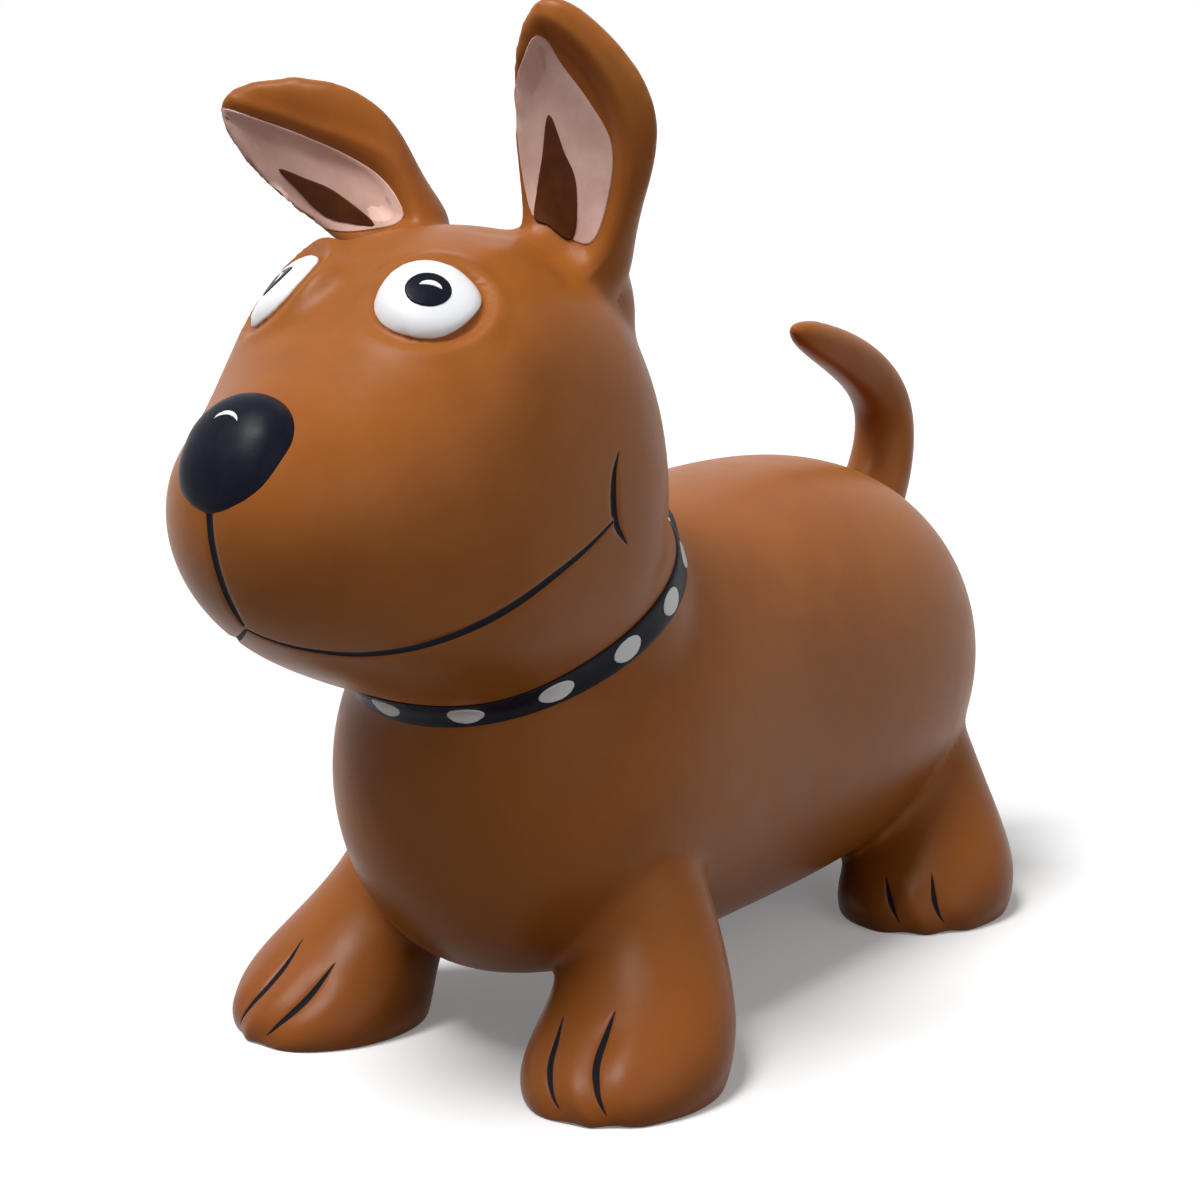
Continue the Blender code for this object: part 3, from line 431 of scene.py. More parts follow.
def direction(aside_degrees, rise_degrees):
    """A direction out of the head: degrees aside from the muzzle, and degrees above level."""
    aside, rise = math.radians(aside_degrees), math.radians(rise_degrees)
    return Vector((math.sin(aside) * math.cos(rise), -math.cos(aside) * math.cos(rise), math.sin(rise)))


def smooth_path(points, step):
    """Evenly spaced points on a smooth curve through a row of points."""
    points = [Vector(point) for point in points]
    padded = [points[0] * 2 - points[1]] + points + [points[-1] * 2 - points[-2]]
    dense = []
    for a, b, c, d in zip(padded, padded[1:], padded[2:], padded[3:]):
        for share in np.linspace(0, 1, 40, endpoint=False):
            dense.append(0.5 * (2 * b + (c - a) * share + (2 * a - 5 * b + 4 * c - d) * share ** 2
                                + (3 * b - a - 3 * c + d) * share ** 3))
    dense.append(points[-1])
    runs = np.cumsum([0] + [(q - p).length for p, q in zip(dense, dense[1:])])
    wanted = np.linspace(0, runs[-1], max(int(runs[-1] / step), 2))
    axes = range(len(points[0]))
    return np.array([np.interp(wanted, runs, [point[axis] for point in dense]) for axis in axes]).T


def closed_path(points, count):
    """Evenly spaced points on a smooth closed curve through a ring of points."""
    ring = list(points[-2:]) + list(points) + list(points[:3])
    path = smooth_path(ring, 0.0002)
    half = len(path) // 2
    start = np.argmin(np.linalg.norm(path - np.array(points[0]), axis=1)[:half])
    end = half + np.argmin(np.linalg.norm(path - np.array(points[0]), axis=1)[half:])
    wanted = np.linspace(start, end, count, endpoint=False)
    return np.array([np.interp(wanted, range(len(path)), path[:, axis]) for axis in (0, 1)]).T


def ear_outline(side, shares, count=72):
    """A closed line on an ear's face, across and along the ear."""
    ring = [(aside * EAR_WIDTH[side], along * EAR_LENGTH[side]) for along, aside in shares]
    return closed_path(ring, count)


def depth_inside(points, outline):
    """How far each flat point lies inside a closed line, or below zero outside it."""
    nearest = np.full(len(points), 1.0)
    within = np.zeros(len(points), dtype=bool)
    for start, end in zip(outline, np.roll(outline, -1, axis=0)):
        way = end - start
        share = np.clip((points - start) @ way / (way @ way), 0, 1)
        nearest = np.minimum(nearest, np.linalg.norm(points - start - share[:, None] * way, axis=1))
        if start[1] != end[1]:
            crossing = start[0] + (points[:, 1] - start[1]) / way[1] * way[0]
            within ^= ((start[1] > points[:, 1]) != (end[1] > points[:, 1])) & (points[:, 0] < crossing)
    return np.where(within, nearest, -nearest)


def choose_faces(piece, chosen):
    """Go into edit mode with only those faces of a piece selected that hold a chosen point."""
    for face in piece.data.polygons:
        face.select = any(chosen[index] for index in face.vertices)
    piece.data.vertices.foreach_set("select", np.zeros(len(piece.data.vertices), dtype=bool))
    piece.data.edges.foreach_set("select", np.zeros(len(piece.data.edges), dtype=bool))
    bpy.context.view_layer.objects.active = piece
    bpy.ops.object.mode_set(mode="EDIT")
    bpy.ops.mesh.select_mode(type="FACE")


def refine(piece, near):
    """Divide the faces of a piece where a test on their points holds, and ease the new points."""
    choose_faces(piece, near(points_of(piece)))
    bpy.ops.mesh.subdivide(number_cuts=1)
    bpy.ops.mesh.vertices_smooth(factor=0.5, repeat=2)
    bpy.ops.object.mode_set(mode="OBJECT")


def within_place(place, points):
    """Points as they lie in a place's own frame."""
    inverse = np.array(place.inverted())
    return points @ inverse[:3, :3].T + inverse[:3, 3]


def hollowed(points, side):
    """Which points lie on an ear's face, and how far inside its hollow."""
    flat = within_place(ear_place(side), points)
    over = (np.abs(flat[:, 0]) < EAR_WIDTH[side]) & (flat[:, 1] > 0) & (flat[:, 1] < EAR_LENGTH[side] * 1.1)
    over &= np.abs(flat[:, 2]) < EAR_THICKNESS
    depth = np.full(len(points), -1.0)
    depth[over] = depth_inside(flat[over, :2], ear_outline(side, HOLLOW[side]))
    return flat, depth


for side in EAR_LENGTH:
    refine(skin, lambda places: hollowed(places, side)[1] > -HOLLOW_BORDER)
places = points_of(skin)
slopes = slopes_of(skin)
bare = surface_of(skin)
eye_places = {}
for side, degrees in EYE_DEGREES.items():
    hit, slope, _, _ = bare.ray_cast(HEAD_CENTRE, direction(*degrees))
    eye_places[side] = facing(hit, slope)
moves = np.zeros(places.shape)
for side, sign in (("left", 1), ("right", -1)):
    flat = within_place(eye_places[side], places)
    near = eased((EYE_REACH - np.linalg.norm(flat, axis=1)) / (EYE_REACH / 3))
    outside = (np.hypot(flat[:, 0] / (EYE_WIDTH / 2), flat[:, 1] / (EYE_HEIGHT / 2)) - 1) * EYE_WIDTH / 2
    for distance, breadth, rise in EYE_EDGES:
        moves += slopes * (near * rise * hump(outside - distance, breadth))[:, None]
    brow = eased((flat[:, 0] * sign * BROW_OUTER + flat[:, 1] * BROW_UPPER) / EYE_WIDTH)
    ridge = hump(outside - BROW_DISTANCE, BROW_BREADTH)
    moves += slopes * (near * brow * BROW_RISE[side] * ridge)[:, None]
    both_sides = tuple(((x * sign, y, z), reach, rise) for (x, y, z), reach, rise in FOLDS)
    for middle, reach, rise in BROW_FOLDS[side] + both_sides:
        away = np.linalg.norm(places - np.array(middle), axis=1)
        moves += slopes * (rise * hump(away, reach))[:, None]
    front = np.array(ear_place(side).to_3x3().col[2])
    flat, depth = hollowed(places, side)
    faced = eased(slopes @ front / FACE_SLOPE)
    lip = HOLLOW_LIP * hump(depth + HOLLOW_LIP_REACH, HOLLOW_LIP_REACH)
    sunk = HOLLOW_DEPTH * eased(depth / HOLLOW_SLOPE) - lip
    moves -= np.outer(sunk * faced * (depth > -HOLLOW_LIMIT), front)
    across = flat[:, 0] - LOBE_ACROSS * EAR_WIDTH[side]
    along = (flat[:, 1] - LOBE_ALONG * EAR_LENGTH[side]) * LOBE_STRETCH
    moves += np.outer(LOBE_RISE[side] * hump(np.hypot(across, along), LOBE_REACH) * faced, front)
    started = eased(flat[:, 0] / EAR_WIDTH[side] * SIDE_START)
    swell = hump(flat[:, 1] - SIDE_ALONG * EAR_LENGTH[side], SIDE_REACH) * started
    on_ear = (np.abs(flat[:, 0]) < EAR_WIDTH[side]) & (np.abs(flat[:, 2]) < EAR_THICKNESS)
    moves += np.outer(SIDE_SWELL[side] * swell * on_ear, np.array(ear_place(side).to_3x3().col[0]))
move_points(skin, places + moves)

# The drawn lines
# Mouth, lip, cheek creases and toe lines are grooves of the mould, widest midway and narrower at each end,
# and painted dark. The smile is two of them, which meet under the lip line. A toe line lies in a shallow
# valley that starts softly at its upper end, and the toes swell on both sides of it.
GROOVE_DEPTH = 0.0013
GROOVE_BREADTH = 1.15
MOUTH_WIDTH = 0.0042
LIP_WIDTH = MOUTH_WIDTH * 0.85
CREASE_WIDTH = MOUTH_WIDTH * 1.15
TOE_WIDTH = 0.0036
VALLEY_DEPTH = 0.0014
VALLEY_REACH = 0.0070
VALLEY_START = 0.018
VALLEY_BANK = 0.30
# How many steps a toe's valley runs on below its line, in the direction of the line's last steps.
VALLEY_RUN = 15
VALLEY_HEADING = 7
LINE_STEP = 0.0005
# How near a drawn line the skin is divided finer, once and once more.
LINE_REACHES = (0.006, 0.004)
# Degrees round the muzzle from its middle, and percent of the head's height.
SMILE = ((0, 31.2), (3.2, 29.2), (8, 27.3), (16.5, 25.8), (28, 26.7), (42.5, 30.4), (62, 37.3), (76, 41.7),
         (87, 45.4))
CREASE = ((90, 58.5), (87.8, 54.5), (87.6, 49.0), (89.5, 44.5), (95, 40.5))
LIP = ((0, 59.0), (0, 46.0), (0, 32.2))
# Outwards, ahead and above its sole's middle, as shares of a paw's width, length and height.
TOES = {
    "front": (((-0.20, 0.22, 0.31), (-0.15, 0.40, 0.19), (-0.06, 0.51, 0.10), (0.00, 0.54, 0.05)),
              ((0.06, 0.17, 0.36), (0.10, 0.37, 0.23), (0.17, 0.46, 0.13), (0.23, 0.47, 0.05))),
    "rear": (((-0.02, 0.41, 0.23), (0.05, 0.49, 0.15), (0.10, 0.51, 0.09), (0.13, 0.51, 0.05)),
             ((0.22, 0.32, 0.26), (0.28, 0.39, 0.17), (0.32, 0.40, 0.10), (0.35, 0.38, 0.05))),
}
bare = surface_of(skin)


def round_muzzle(path):
    """A line round the muzzle that lies on the skin."""
    points = []
    for degrees, height in smooth_path(path, 1):
        start = Vector((0, HEAD_CENTRE.y, HEAD_BASE + height / 100 * HEAD_HEIGHT))
        points.append(bare.ray_cast(start, direction(degrees, 0))[0])
    return smooth_path(points, LINE_STEP)


def over_paw(sole, path):
    """A line down a paw that lies on the skin."""
    side = math.copysign(1, sole.x)
    points = []
    for outwards, ahead, above in smooth_path(path, 0.04):
        start = sole + Vector((side * outwards * PAW_WIDTH, -ahead * PAW_LENGTH, above * LEG_HEIGHT))
        points.append(bare.find_nearest(start)[0])
    return smooth_path(points, LINE_STEP)


def mirrored(path):
    """The same line on the other side of the muzzle."""
    return [(-degrees, height) for degrees, height in path]


# Points, width, length of each pointed end, and share of the width at the very end.
lines = [
    (round_muzzle(SMILE), MOUTH_WIDTH, 0.080, 0.38),
    (round_muzzle(mirrored(SMILE)), MOUTH_WIDTH, 0.080, 0.38),
    (round_muzzle(LIP), LIP_WIDTH, 0.014, 0.55),
    (round_muzzle(CREASE), CREASE_WIDTH, 0.022, 0.20),
    (round_muzzle(mirrored(CREASE)), CREASE_WIDTH, 0.022, 0.20),
]
valley_tree = KDTree(4000)
valley_starts = []
for corner, sole in SOLES.items():
    for path in TOES[corner.split("_")[0]]:
        line = over_paw(sole, path)
        lines.append((line, TOE_WIDTH, 0.024, 0.15))
        heading = (line[-1] - line[-1 - VALLEY_HEADING]) / VALLEY_HEADING
        run = [line[-1] + heading * step for step in range(1, VALLEY_RUN + 1)]
        for index, point in enumerate(list(line) + run):
            valley_tree.insert(point, len(valley_starts))
            valley_starts.append(float(eased(index * LINE_STEP / VALLEY_START)))
valley_tree.balance()
tree = KDTree(sum(len(line[0]) for line in lines))
owners = []
for path, width, taper, tip in lines:
    for index, point in enumerate(path):
        tree.insert(point, len(owners))
        share = min(1, min(index, len(path) - 1 - index) * LINE_STEP / taper)
        owners.append(width / 2 * (tip + (1 - tip) * math.sin(share * math.pi / 2)))
tree.balance()


def nearest_in(rows, values, places):
    """How far each point lies from the nearest point of some lines, and the value held there."""
    found = [rows.find(place) for place in places]
    distances = np.array([distance for _, _, distance in found])
    return distances, np.array([values[index] for _, index, _ in found])


for reach in LINE_REACHES:
    refine(skin, lambda places: nearest_in(tree, owners, places)[0] < reach)
places = points_of(skin)
slopes = slopes_of(skin)
away, half = nearest_in(tree, owners, places)
sink = GROOVE_DEPTH * (half / (MOUTH_WIDTH / 2)) * hump(away, half * GROOVE_BREADTH)
valley_away, strength = nearest_in(valley_tree, valley_starts, places)
bank = VALLEY_BANK * hump(valley_away - 2 * VALLEY_REACH, VALLEY_REACH)
sink += VALLEY_DEPTH * strength * (hump(valley_away, VALLEY_REACH) - bank)
places = places - slopes * sink[:, None]
places[:, 2] = np.maximum(places[:, 2], 0)
move_points(skin, places)
drawn = skin.data.attributes.new("line_distance", "FLOAT", "POINT")
drawn.data.foreach_set("value", (away - half).astype(np.float32))

# Parting the skin where it bends
# The ears and the tail bend on the real toy because the skin is soft. Their part of the skin is kept as a
# piece of its own, parted off from its root outwards, and the head ends under the collar.
EAR_BEND = {"left": (0.046, 0.100), "right": (0.046, 0.092)}
TAIL_BEND = (Vector((0, 0.288, 0.262)), Vector((0, 0.283, 0.306)))
# How far from its own middle line each part's skin may lie.
EAR_CLEAR = 0.055
TAIL_CLEAR = 0.034
HEAD_CLEAR = 0.189


def past(places, start, end):
    """How far each point lies on the way from one place to another."""
    way = np.array(end - start)
    return (places - np.array(start)) @ way / (way @ way)


places = points_of(skin)
normals = skin.data.attributes.new("moulded_normal", "FLOAT_VECTOR", "POINT")
normals.data.foreach_set("vector", slopes_of(skin).astype(np.float32).ravel())
chosen = {}
for side in ("left", "right"):
    place = ear_place(side)
    start, end = (place @ Vector((0, distance, 0)) for distance in EAR_BEND[side])
    local = places - np.array(start)
    along = np.array((end - start).normalized())
    aside = np.linalg.norm(local - np.outer(local @ along, along), axis=1)
    chosen[f"ear_{side}"] = (past(places, start, end) > 0) & (aside < EAR_CLEAR)
tail_away = np.min([np.linalg.norm(places - np.array(centre), axis=1) for centre in tail_centres], axis=0)
chosen["tail"] = (past(places, *TAIL_BEND) > 0) & (tail_away < TAIL_CLEAR)
above = (places - np.array(NECK_MIDDLE)) @ np.array(neck_out) > 0
chosen["head"] = above & ((places - np.array(NECK_MIDDLE)) @ np.array(neck_back) < HEAD_CLEAR)
surface = surface_of(skin)


def parted(piece, test, name):
    """Take the faces that hold a chosen point out of a piece, as a piece of their own."""
    bpy.ops.object.select_all(action="DESELECT")
    piece.select_set(True)
    chosen_points = np.zeros(len(piece.data.vertices), dtype=bool)
    piece.data.attributes[test].data.foreach_get("value", chosen_points)
    choose_faces(piece, chosen_points)
    bpy.ops.mesh.separate(type="SELECTED")
    bpy.ops.object.mode_set(mode="OBJECT")
    part = [thing for thing in bpy.context.selected_objects if thing is not piece][0]
    part.name = part.data.name = name
    return part


for name, test in chosen.items():
    mark = skin.data.attributes.new(f"is_{name}", "BOOLEAN", "POINT")
    mark.data.foreach_set("value", test)
skins = {name: parted(skin, f"is_{name}", f"{name}_skin") for name in chosen}
skin.name = skin.data.name = "body_skin"
skins["body"] = skin
for piece in skins.values():
    flat = np.empty(len(piece.data.vertices) * 3, dtype=np.float32)
    piece.data.attributes["moulded_normal"].data.foreach_get("vector", flat)
    piece.data.normals_split_custom_set_from_vertices(flat.reshape(-1, 3).tolist())
    for name in [f"is_{name}" for name in chosen] + ["moulded_normal"]:
        piece.data.attributes.remove(piece.data.attributes[name])
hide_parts("head", "mouth_line", "lip_line", "cheek_crease_left", "cheek_crease_right")
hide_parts("torso", *(f"leg_{corner}" for corner in SOLES),
            *(f"toe_line_{corner}_{place}" for corner in SOLES for place in ("inner", "outer")))
for name in ("head", "body"):
    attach(skins[name], "skin")
for name in ("ear_left", "ear_right", "tail"):
    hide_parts(name)
    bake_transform(skins[name])


class Shade:
    """A value or a colour on its way through a material's nodes."""

    def __init__(self, tree, socket=None):
        self.tree = tree
        self.socket = socket

    def node(self, kind, settings=None, sockets=None, output=0):
        """Another node in the same material, and one of its outputs."""
        made = self.tree.nodes.new(kind)
        for name, value in (settings or {}).items():
            setattr(made, name, value)
        for name, value in (sockets or {}).items():
            if isinstance(value, Shade):
                self.tree.links.new(value.socket, made.inputs[name])
            else:
                made.inputs[name].default_value = value
        return Shade(self.tree, made.outputs[output])

    def maths(self, operation, *values):
        """One sum on values."""
        return self.node("ShaderNodeMath", {"operation": operation}, dict(enumerate(values)))

    def __add__(self, other):
        return self.maths("ADD", self, other)

    __radd__ = __add__

    def __sub__(self, other):
        return self.maths("SUBTRACT", self, other)

    def __rsub__(self, other):
        return self.maths("SUBTRACT", other, self)

    def __mul__(self, other):
        return self.maths("MULTIPLY", self, other)

    __rmul__ = __mul__

    def attribute(self, name):
        """A value that the mesh holds at each point."""
        return self.node("ShaderNodeAttribute", {"attribute_name": name}, output="Fac")

    def height(self):
        """How high a place lies above the floor."""
        place = self.node("ShaderNodeTexCoord", output="Object")
        return self.node("ShaderNodeSeparateXYZ", {}, {"Vector": place}, output="Z")

    def light_path(self, kind):
        """One where the ray is of a kind, and nothing elsewhere."""
        return self.node("ShaderNodeLightPath", output=kind)

    def noise(self, scale, detail=2.0, roughness=0.5):
        """A cloudy pattern that is fixed to the toy."""
        place = self.node("ShaderNodeTexCoord", output="Object")
        return self.node("ShaderNodeTexNoise", {}, {"Vector": place, "Scale": scale, "Detail": detail,
                                                    "Roughness": roughness}, output="Fac")

    def step(self, value, low, high, bottom=0.0, top=1.0):
        """A value brought smoothly from one level to another between two bounds."""
        return self.node("ShaderNodeMapRange", {"interpolation_type": "SMOOTHSTEP"}, {
            "Value": value, "From Min": low, "From Max": high, "To Min": bottom, "To Max": top})

    def mixed(self, share, first, second):
        """Two colours mixed."""
        return self.node("ShaderNodeMix", {"data_type": "RGBA"}, {0: share, 6: first, 7: second}, output=2)

    def bump(self, height, distance, strength=1.0):
        """A small relief that the light shows."""
        return self.node("ShaderNodeBump", {}, {"Height": height, "Distance": distance, "Strength": strength})


def new_finish(name, **constants):
    """A material with its constant values set, ready for what changes over the surface."""
    material = bpy.data.materials.new(name)
    material.use_nodes = True
    shader = material.node_tree.nodes["Principled BSDF"]
    for socket, value in constants.items():
        shader.inputs[socket.replace("_", " ")].default_value = value
    return material, Shade(material.node_tree), shader


def feed(shade, shader, **links):
    """Link what changes over the surface to the shader's sockets."""
    for socket, value in links.items():
        shade.tree.links.new(value.socket, shader.inputs[socket.replace("_", " ")])


# The colour of the skin
# It is coloured right through, a warm brown with faint clouds, and has the satin of cast PVC. Painted shade
# deepens the brown towards the paws, lower down on the toy. The lines are brushed in with matt navy.
BROWN = (0.360, 0.112, 0.018, 1)
BROWN_DEEP = (0.315, 0.092, 0.013, 1)
BROWN_PALE = (0.390, 0.134, 0.028, 1)
# Painted shade: a deeper brown mixed in below a height, strongest at the floor.
BROWN_PAINTED_SHADE = (0.200, 0.054, 0.009, 1)
PAINTED_SHADE_HEIGHT = 0.15
PAINTED_SHADE_SHARE = 0.65
LINE_NAVY = (0.004, 0.005, 0.009, 1)
LINE_EDGE = 0.00015
pvc, shade, shader = new_finish("moulded_pvc", IOR=1.5, Specular_IOR_Level=0.15)
clouds = shade.noise(7.0, 3.0, 0.55)
mottle = shade.noise(46.0, 4.0, 0.6)
tone = shade.mixed(shade.step(clouds, 0.38, 0.62), BROWN_DEEP, BROWN)
tone = shade.mixed(shade.step(mottle, 0.35, 0.75, 0.0, 0.35), tone, BROWN_PALE)
# Painted shade, darkening the brown towards the paws.
tone = shade.mixed(shade.step(shade.height(), 0.0, PAINTED_SHADE_HEIGHT, PAINTED_SHADE_SHARE, 0.0), tone, BROWN_PAINTED_SHADE)
paint = 1 - shade.step(shade.attribute("line_distance"), -LINE_EDGE, LINE_EDGE)
grain = shade.noise(900.0, 2.0, 0.5) + shade.noise(60.0, 2.0, 0.5) * 2.5
feed(shade, shader,
     Base_Color=shade.mixed(paint, tone, LINE_NAVY),
     Roughness=shade.step(mottle, 0.3, 0.8, 0.36, 0.44) + paint * 0.40,
     Normal=shade.bump(grain, 0.00010, 0.6))
for piece in skins.values():
    piece.data.materials.clear()
    piece.data.materials.append(pvc)

# The eyes
# White ovals painted on the two low mounds, each a little proud of the skin, with a dark pupil and a
# crescent of white on it for the gleam. The foot of each is its height over the skin where it starts.
WHITE = (0.93, 0.94, 0.96, 1)
WHITE_WORN = (0.84, 0.84, 0.86, 1)
NAVY = (0.004, 0.005, 0.012, 1)
NAVY_WORN = (0.008, 0.011, 0.024, 1)
PAINT_SUNK = 0.0006
PAINT_ROUNDING = 0.0006
EYE_NARROWED = 0.22
EYE_PROUD = 0.0008
EYE_DOME = 0.0014
PUPIL_DEGREES = {"left": (29.3, 47.3), "right": (-33.6, 48.0)}
PUPIL_WIDTH = 0.0192
PUPIL_HEIGHT = 0.0176
PUPIL_FOOT = 0.0020
PUPIL_PROUD = 0.0005
GLINT_DEGREES = {"left": (30.0, 48.6), "right": (-34.1, 49.4)}
GLINT_TURN = math.radians(-16)
GLINT_LENGTH = 0.0105
GLINT_WIDTH = 0.0026
GLINT_FOOT = 0.0025
GLINT_PROUD = 0.0003
GLINT_BEND = 0.0065
LEAF_FULLNESS = 0.7


def oval_outline(width, height, count=72):
    """Points round an oval."""
    turns = [2 * math.pi * step / count for step in range(count)]
    return [(math.cos(turn) * width / 2, math.sin(turn) * height / 2) for turn in turns]


def eye_outline(sign):
    """Points round an eye, which is drawn in towards its outer end."""
    points = []
    for x, y in oval_outline(EYE_WIDTH, EYE_HEIGHT):
        outer = max(0, x * sign) / (EYE_WIDTH / 2)
        points.append((x, y * (1 - EYE_NARROWED * outer ** 2)))
    return points


def leaf_outline(length, width, count=40):
    """Points round a leaf, drawn out to a point at both ends."""
    points = []
    for step in range(count):
        along, aside = math.cos(2 * math.pi * step / count), math.sin(2 * math.pi * step / count)
        points.append((along * length / 2, aside * abs(aside) ** LEAF_FULLNESS * width / 2))
    return points


def relief(name, outline, place, foot, proud, dome=0.0, bent=None, reach=0.03, on=None):
    """A closed sheet of paint that lies on the skin inside an outline, with its edge rounded over."""
    on = on or surface
    rim = max(math.hypot(x, y) for x, y in outline)
    edge = min(0.3, PAINT_ROUNDING / rim)
    profile = [(0.5, -PAINT_SUNK), (1 - edge * 0.5, -PAINT_SUNK), (1.0, -PAINT_SUNK / 2), (1.0, 0.3),
               (1 - edge * 0.3, 0.75), (1 - edge, 1.0), (0.86, 1.0), (0.7, 1.0), (0.5, 1.0), (0.3, 1.0),
               (0.12, 1.0)]
    out = place.to_3x3() @ Vector((0, 0, 1))
    rings = []
    for share, height in profile:
        ring = []
        for x, y in outline:
            x, y = bent(x * share, y * share) if bent else (x * share, y * share)
            hit, normal, _, _ = on.ray_cast(place @ Vector((x, y, reach)), -out)
            if hit is None or normal.dot(out) < 0:
                hit, normal, _, _ = on.find_nearest(place @ Vector((x, y, reach / 3)))
            rise = foot + (height if height < 0 else proud * height + dome * (1 - share ** 2))
            ring.append(hit + normal * rise)
        rings.append(ring)
    return drawn_out(name, rings)


def curved(radius):
    """A map that bends a straight leaf into a crescent."""
    return lambda x, y: (math.sin(x / radius) * (radius + y),
                         math.cos(x / radius) * (radius + y) - radius)


white_paint, shade, shader = new_finish("white_paint", IOR=1.5, Specular_IOR_Level=0.30)
scuffs = shade.noise(120.0, 4.0, 0.6)
feed(shade, shader,
     Base_Color=shade.mixed(shade.step(scuffs, 0.55, 0.75, 0.0, 0.25), WHITE, WHITE_WORN),
     Roughness=shade.step(scuffs, 0.3, 0.7, 0.34, 0.46),
     Normal=shade.bump(shade.noise(700.0, 2.0), 0.00006, 0.5))
navy_paint, shade, shader = new_finish("navy_paint", IOR=1.5, Specular_IOR_Level=0.08)
scuffs = shade.noise(90.0, 4.0, 0.6)
feed(shade, shader,
     Base_Color=shade.mixed(shade.step(scuffs, 0.5, 0.8, 0.0, 0.5), NAVY, NAVY_WORN),
     Roughness=shade.step(scuffs, 0.3, 0.7, 0.30, 0.42),
     Normal=shade.bump(shade.noise(800.0, 2.0), 0.00006, 0.5))


def finished(piece, material, slot, *nodes):
    """Give a piece its finish, and hide the solids that it stands for."""
    piece.data.materials.clear()
    piece.data.materials.append(material)
    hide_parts(*nodes)


for side, sign in (("left", 1), ("right", -1)):
    place = eye_places[side]
    slope = place.to_3x3().col[2]
    white = relief(f"eye_white_{side}", eye_outline(sign), place, 0, EYE_PROUD, EYE_DOME)
    finished(white, white_paint, "white_paint", f"eye_white_{side}")
    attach(white, "skin")
    hit = surface.ray_cast(HEAD_CENTRE, direction(*PUPIL_DEGREES[side]))[0]
    pupil = relief(f"pupil_{side}", oval_outline(PUPIL_WIDTH, PUPIL_HEIGHT), facing(hit, slope), PUPIL_FOOT,
                   PUPIL_PROUD)
    finished(pupil, navy_paint, "navy_paint", f"pupil_{side}")
    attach(pupil, "skin")
    hit = surface.ray_cast(HEAD_CENTRE, direction(*GLINT_DEGREES[side]))[0]
    place = facing(hit, slope) @ Matrix.Rotation(GLINT_TURN, 4, "Z")
    glint = relief(f"eye_glint_{side}", leaf_outline(GLINT_LENGTH, GLINT_WIDTH), place, GLINT_FOOT,
                   GLINT_PROUD, bent=curved(GLINT_BEND))
    finished(glint, white_paint, "white_paint", f"eye_glint_{side}")
    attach(glint, "skin")

# The nose
# A blunt egg-shaped button of the same moulding, whose lower end is flatter, leans forwards and meets the lip
# line. It is painted navy, with a small white gleam on its upper side.
NOSE_WIDTH = 0.0552
NOSE_HEIGHT = 0.0555
NOSE_DEPTH = 0.037
NOSE_FACING = Vector((0, -0.84, 0.54))
NOSE_MIDDLE = Vector((0, HEAD_FRONT + 0.0895 * HEAD_LENGTH, HEAD_BASE + 0.622 * HEAD_HEIGHT))
NOSE_BLUNTNESS = 0.8
# How much broader, longer, flatter and further forwards the lower end is than that of a plain egg.
NOSE_BROADER = 0.10
NOSE_LONGER = 0.08
NOSE_FLATTER = 0.25
NOSE_FORWARDS = 0.26
NOSE_GLINT_DEGREES = (-6, 68)
NOSE_GLINT_LENGTH = 0.0150
NOSE_GLINT_WIDTH = 0.0021
NOSE_GLINT_PROUD = 0.0004
NOSE_GLINT_BEND = 0.0078
bpy.ops.mesh.primitive_uv_sphere_add(segments=64, ring_count=40, radius=1)
nose = bpy.context.object
nose.name = nose.data.name = "nose"
for vertex in nose.data.vertices:
    x, y, z = vertex.co
    low = max(0, -z)
    broad = 1 + NOSE_BROADER * low ** 2 * (3 - 2 * low)
    long = 1 + NOSE_LONGER * low ** 1.5
    depth = math.copysign(abs(y) ** NOSE_BLUNTNESS, y) * (1 - NOSE_FLATTER * low ** 2)
    vertex.co = (x * broad * NOSE_WIDTH / 2, z * long * NOSE_HEIGHT / 2,
                 (NOSE_FORWARDS * low ** 1.5 - depth) * NOSE_DEPTH / 2)
nose.data.transform(facing(NOSE_MIDDLE, NOSE_FACING))
nose.data.update()
face_outwards()
bpy.ops.object.shade_smooth()
finished(nose, navy_paint, "navy_paint", "nose")
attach(nose, "skin")
nose_surface = surface_of(nose)
hit, slope, _, _ = nose_surface.ray_cast(NOSE_MIDDLE, direction(*NOSE_GLINT_DEGREES))
nose_glint = relief("nose_glint", leaf_outline(NOSE_GLINT_LENGTH, NOSE_GLINT_WIDTH), facing(hit, slope), 0,
                    NOSE_GLINT_PROUD, bent=curved(NOSE_GLINT_BEND), on=nose_surface)
finished(nose_glint, white_paint, "white_paint", "nose_glint")
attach(nose_glint, "skin")

# The ear linings
# The inside of each ear is painted a dull pink, with a dark wedge brushed in it from the root upwards.
# Each outline gives the share along the ear and the share of its width.
LINING = {
    "left": ((0.22, 0.17), (0.26, -0.13), (0.30, -0.28), (0.48, -0.38), (0.68, -0.40), (0.79, -0.33),
             (0.87, -0.22), (0.77, -0.06), (0.66, 0.13), (0.53, 0.29), (0.37, 0.28)),
    "right": ((0.19, 0.17), (0.26, -0.10), (0.36, -0.32), (0.47, -0.42), (0.58, -0.45), (0.70, -0.44),
              (0.84, -0.35), (0.96, -0.21), (0.80, -0.03), (0.61, 0.14), (0.48, 0.23), (0.36, 0.28),
              (0.25, 0.26)),
}
WEDGE = {
    "left": ((0.61, -0.165), (0.50, -0.05), (0.40, 0.05), (0.23, 0.05), (0.26, -0.13), (0.29, -0.25),
             (0.46, -0.21)),
    "right": ((0.66, -0.27), (0.56, -0.17), (0.44, -0.07), (0.25, -0.02), (0.33, -0.18), (0.42, -0.29),
              (0.56, -0.29)),
}
LINING_PROUD = 0.0006
LINING_REACH = 0.024
PINK = (0.78, 0.51, 0.43, 1)
PINK_PALE = (0.88, 0.61, 0.53, 1)
WEDGE_DARK = (0.075, 0.020, 0.005, 1)
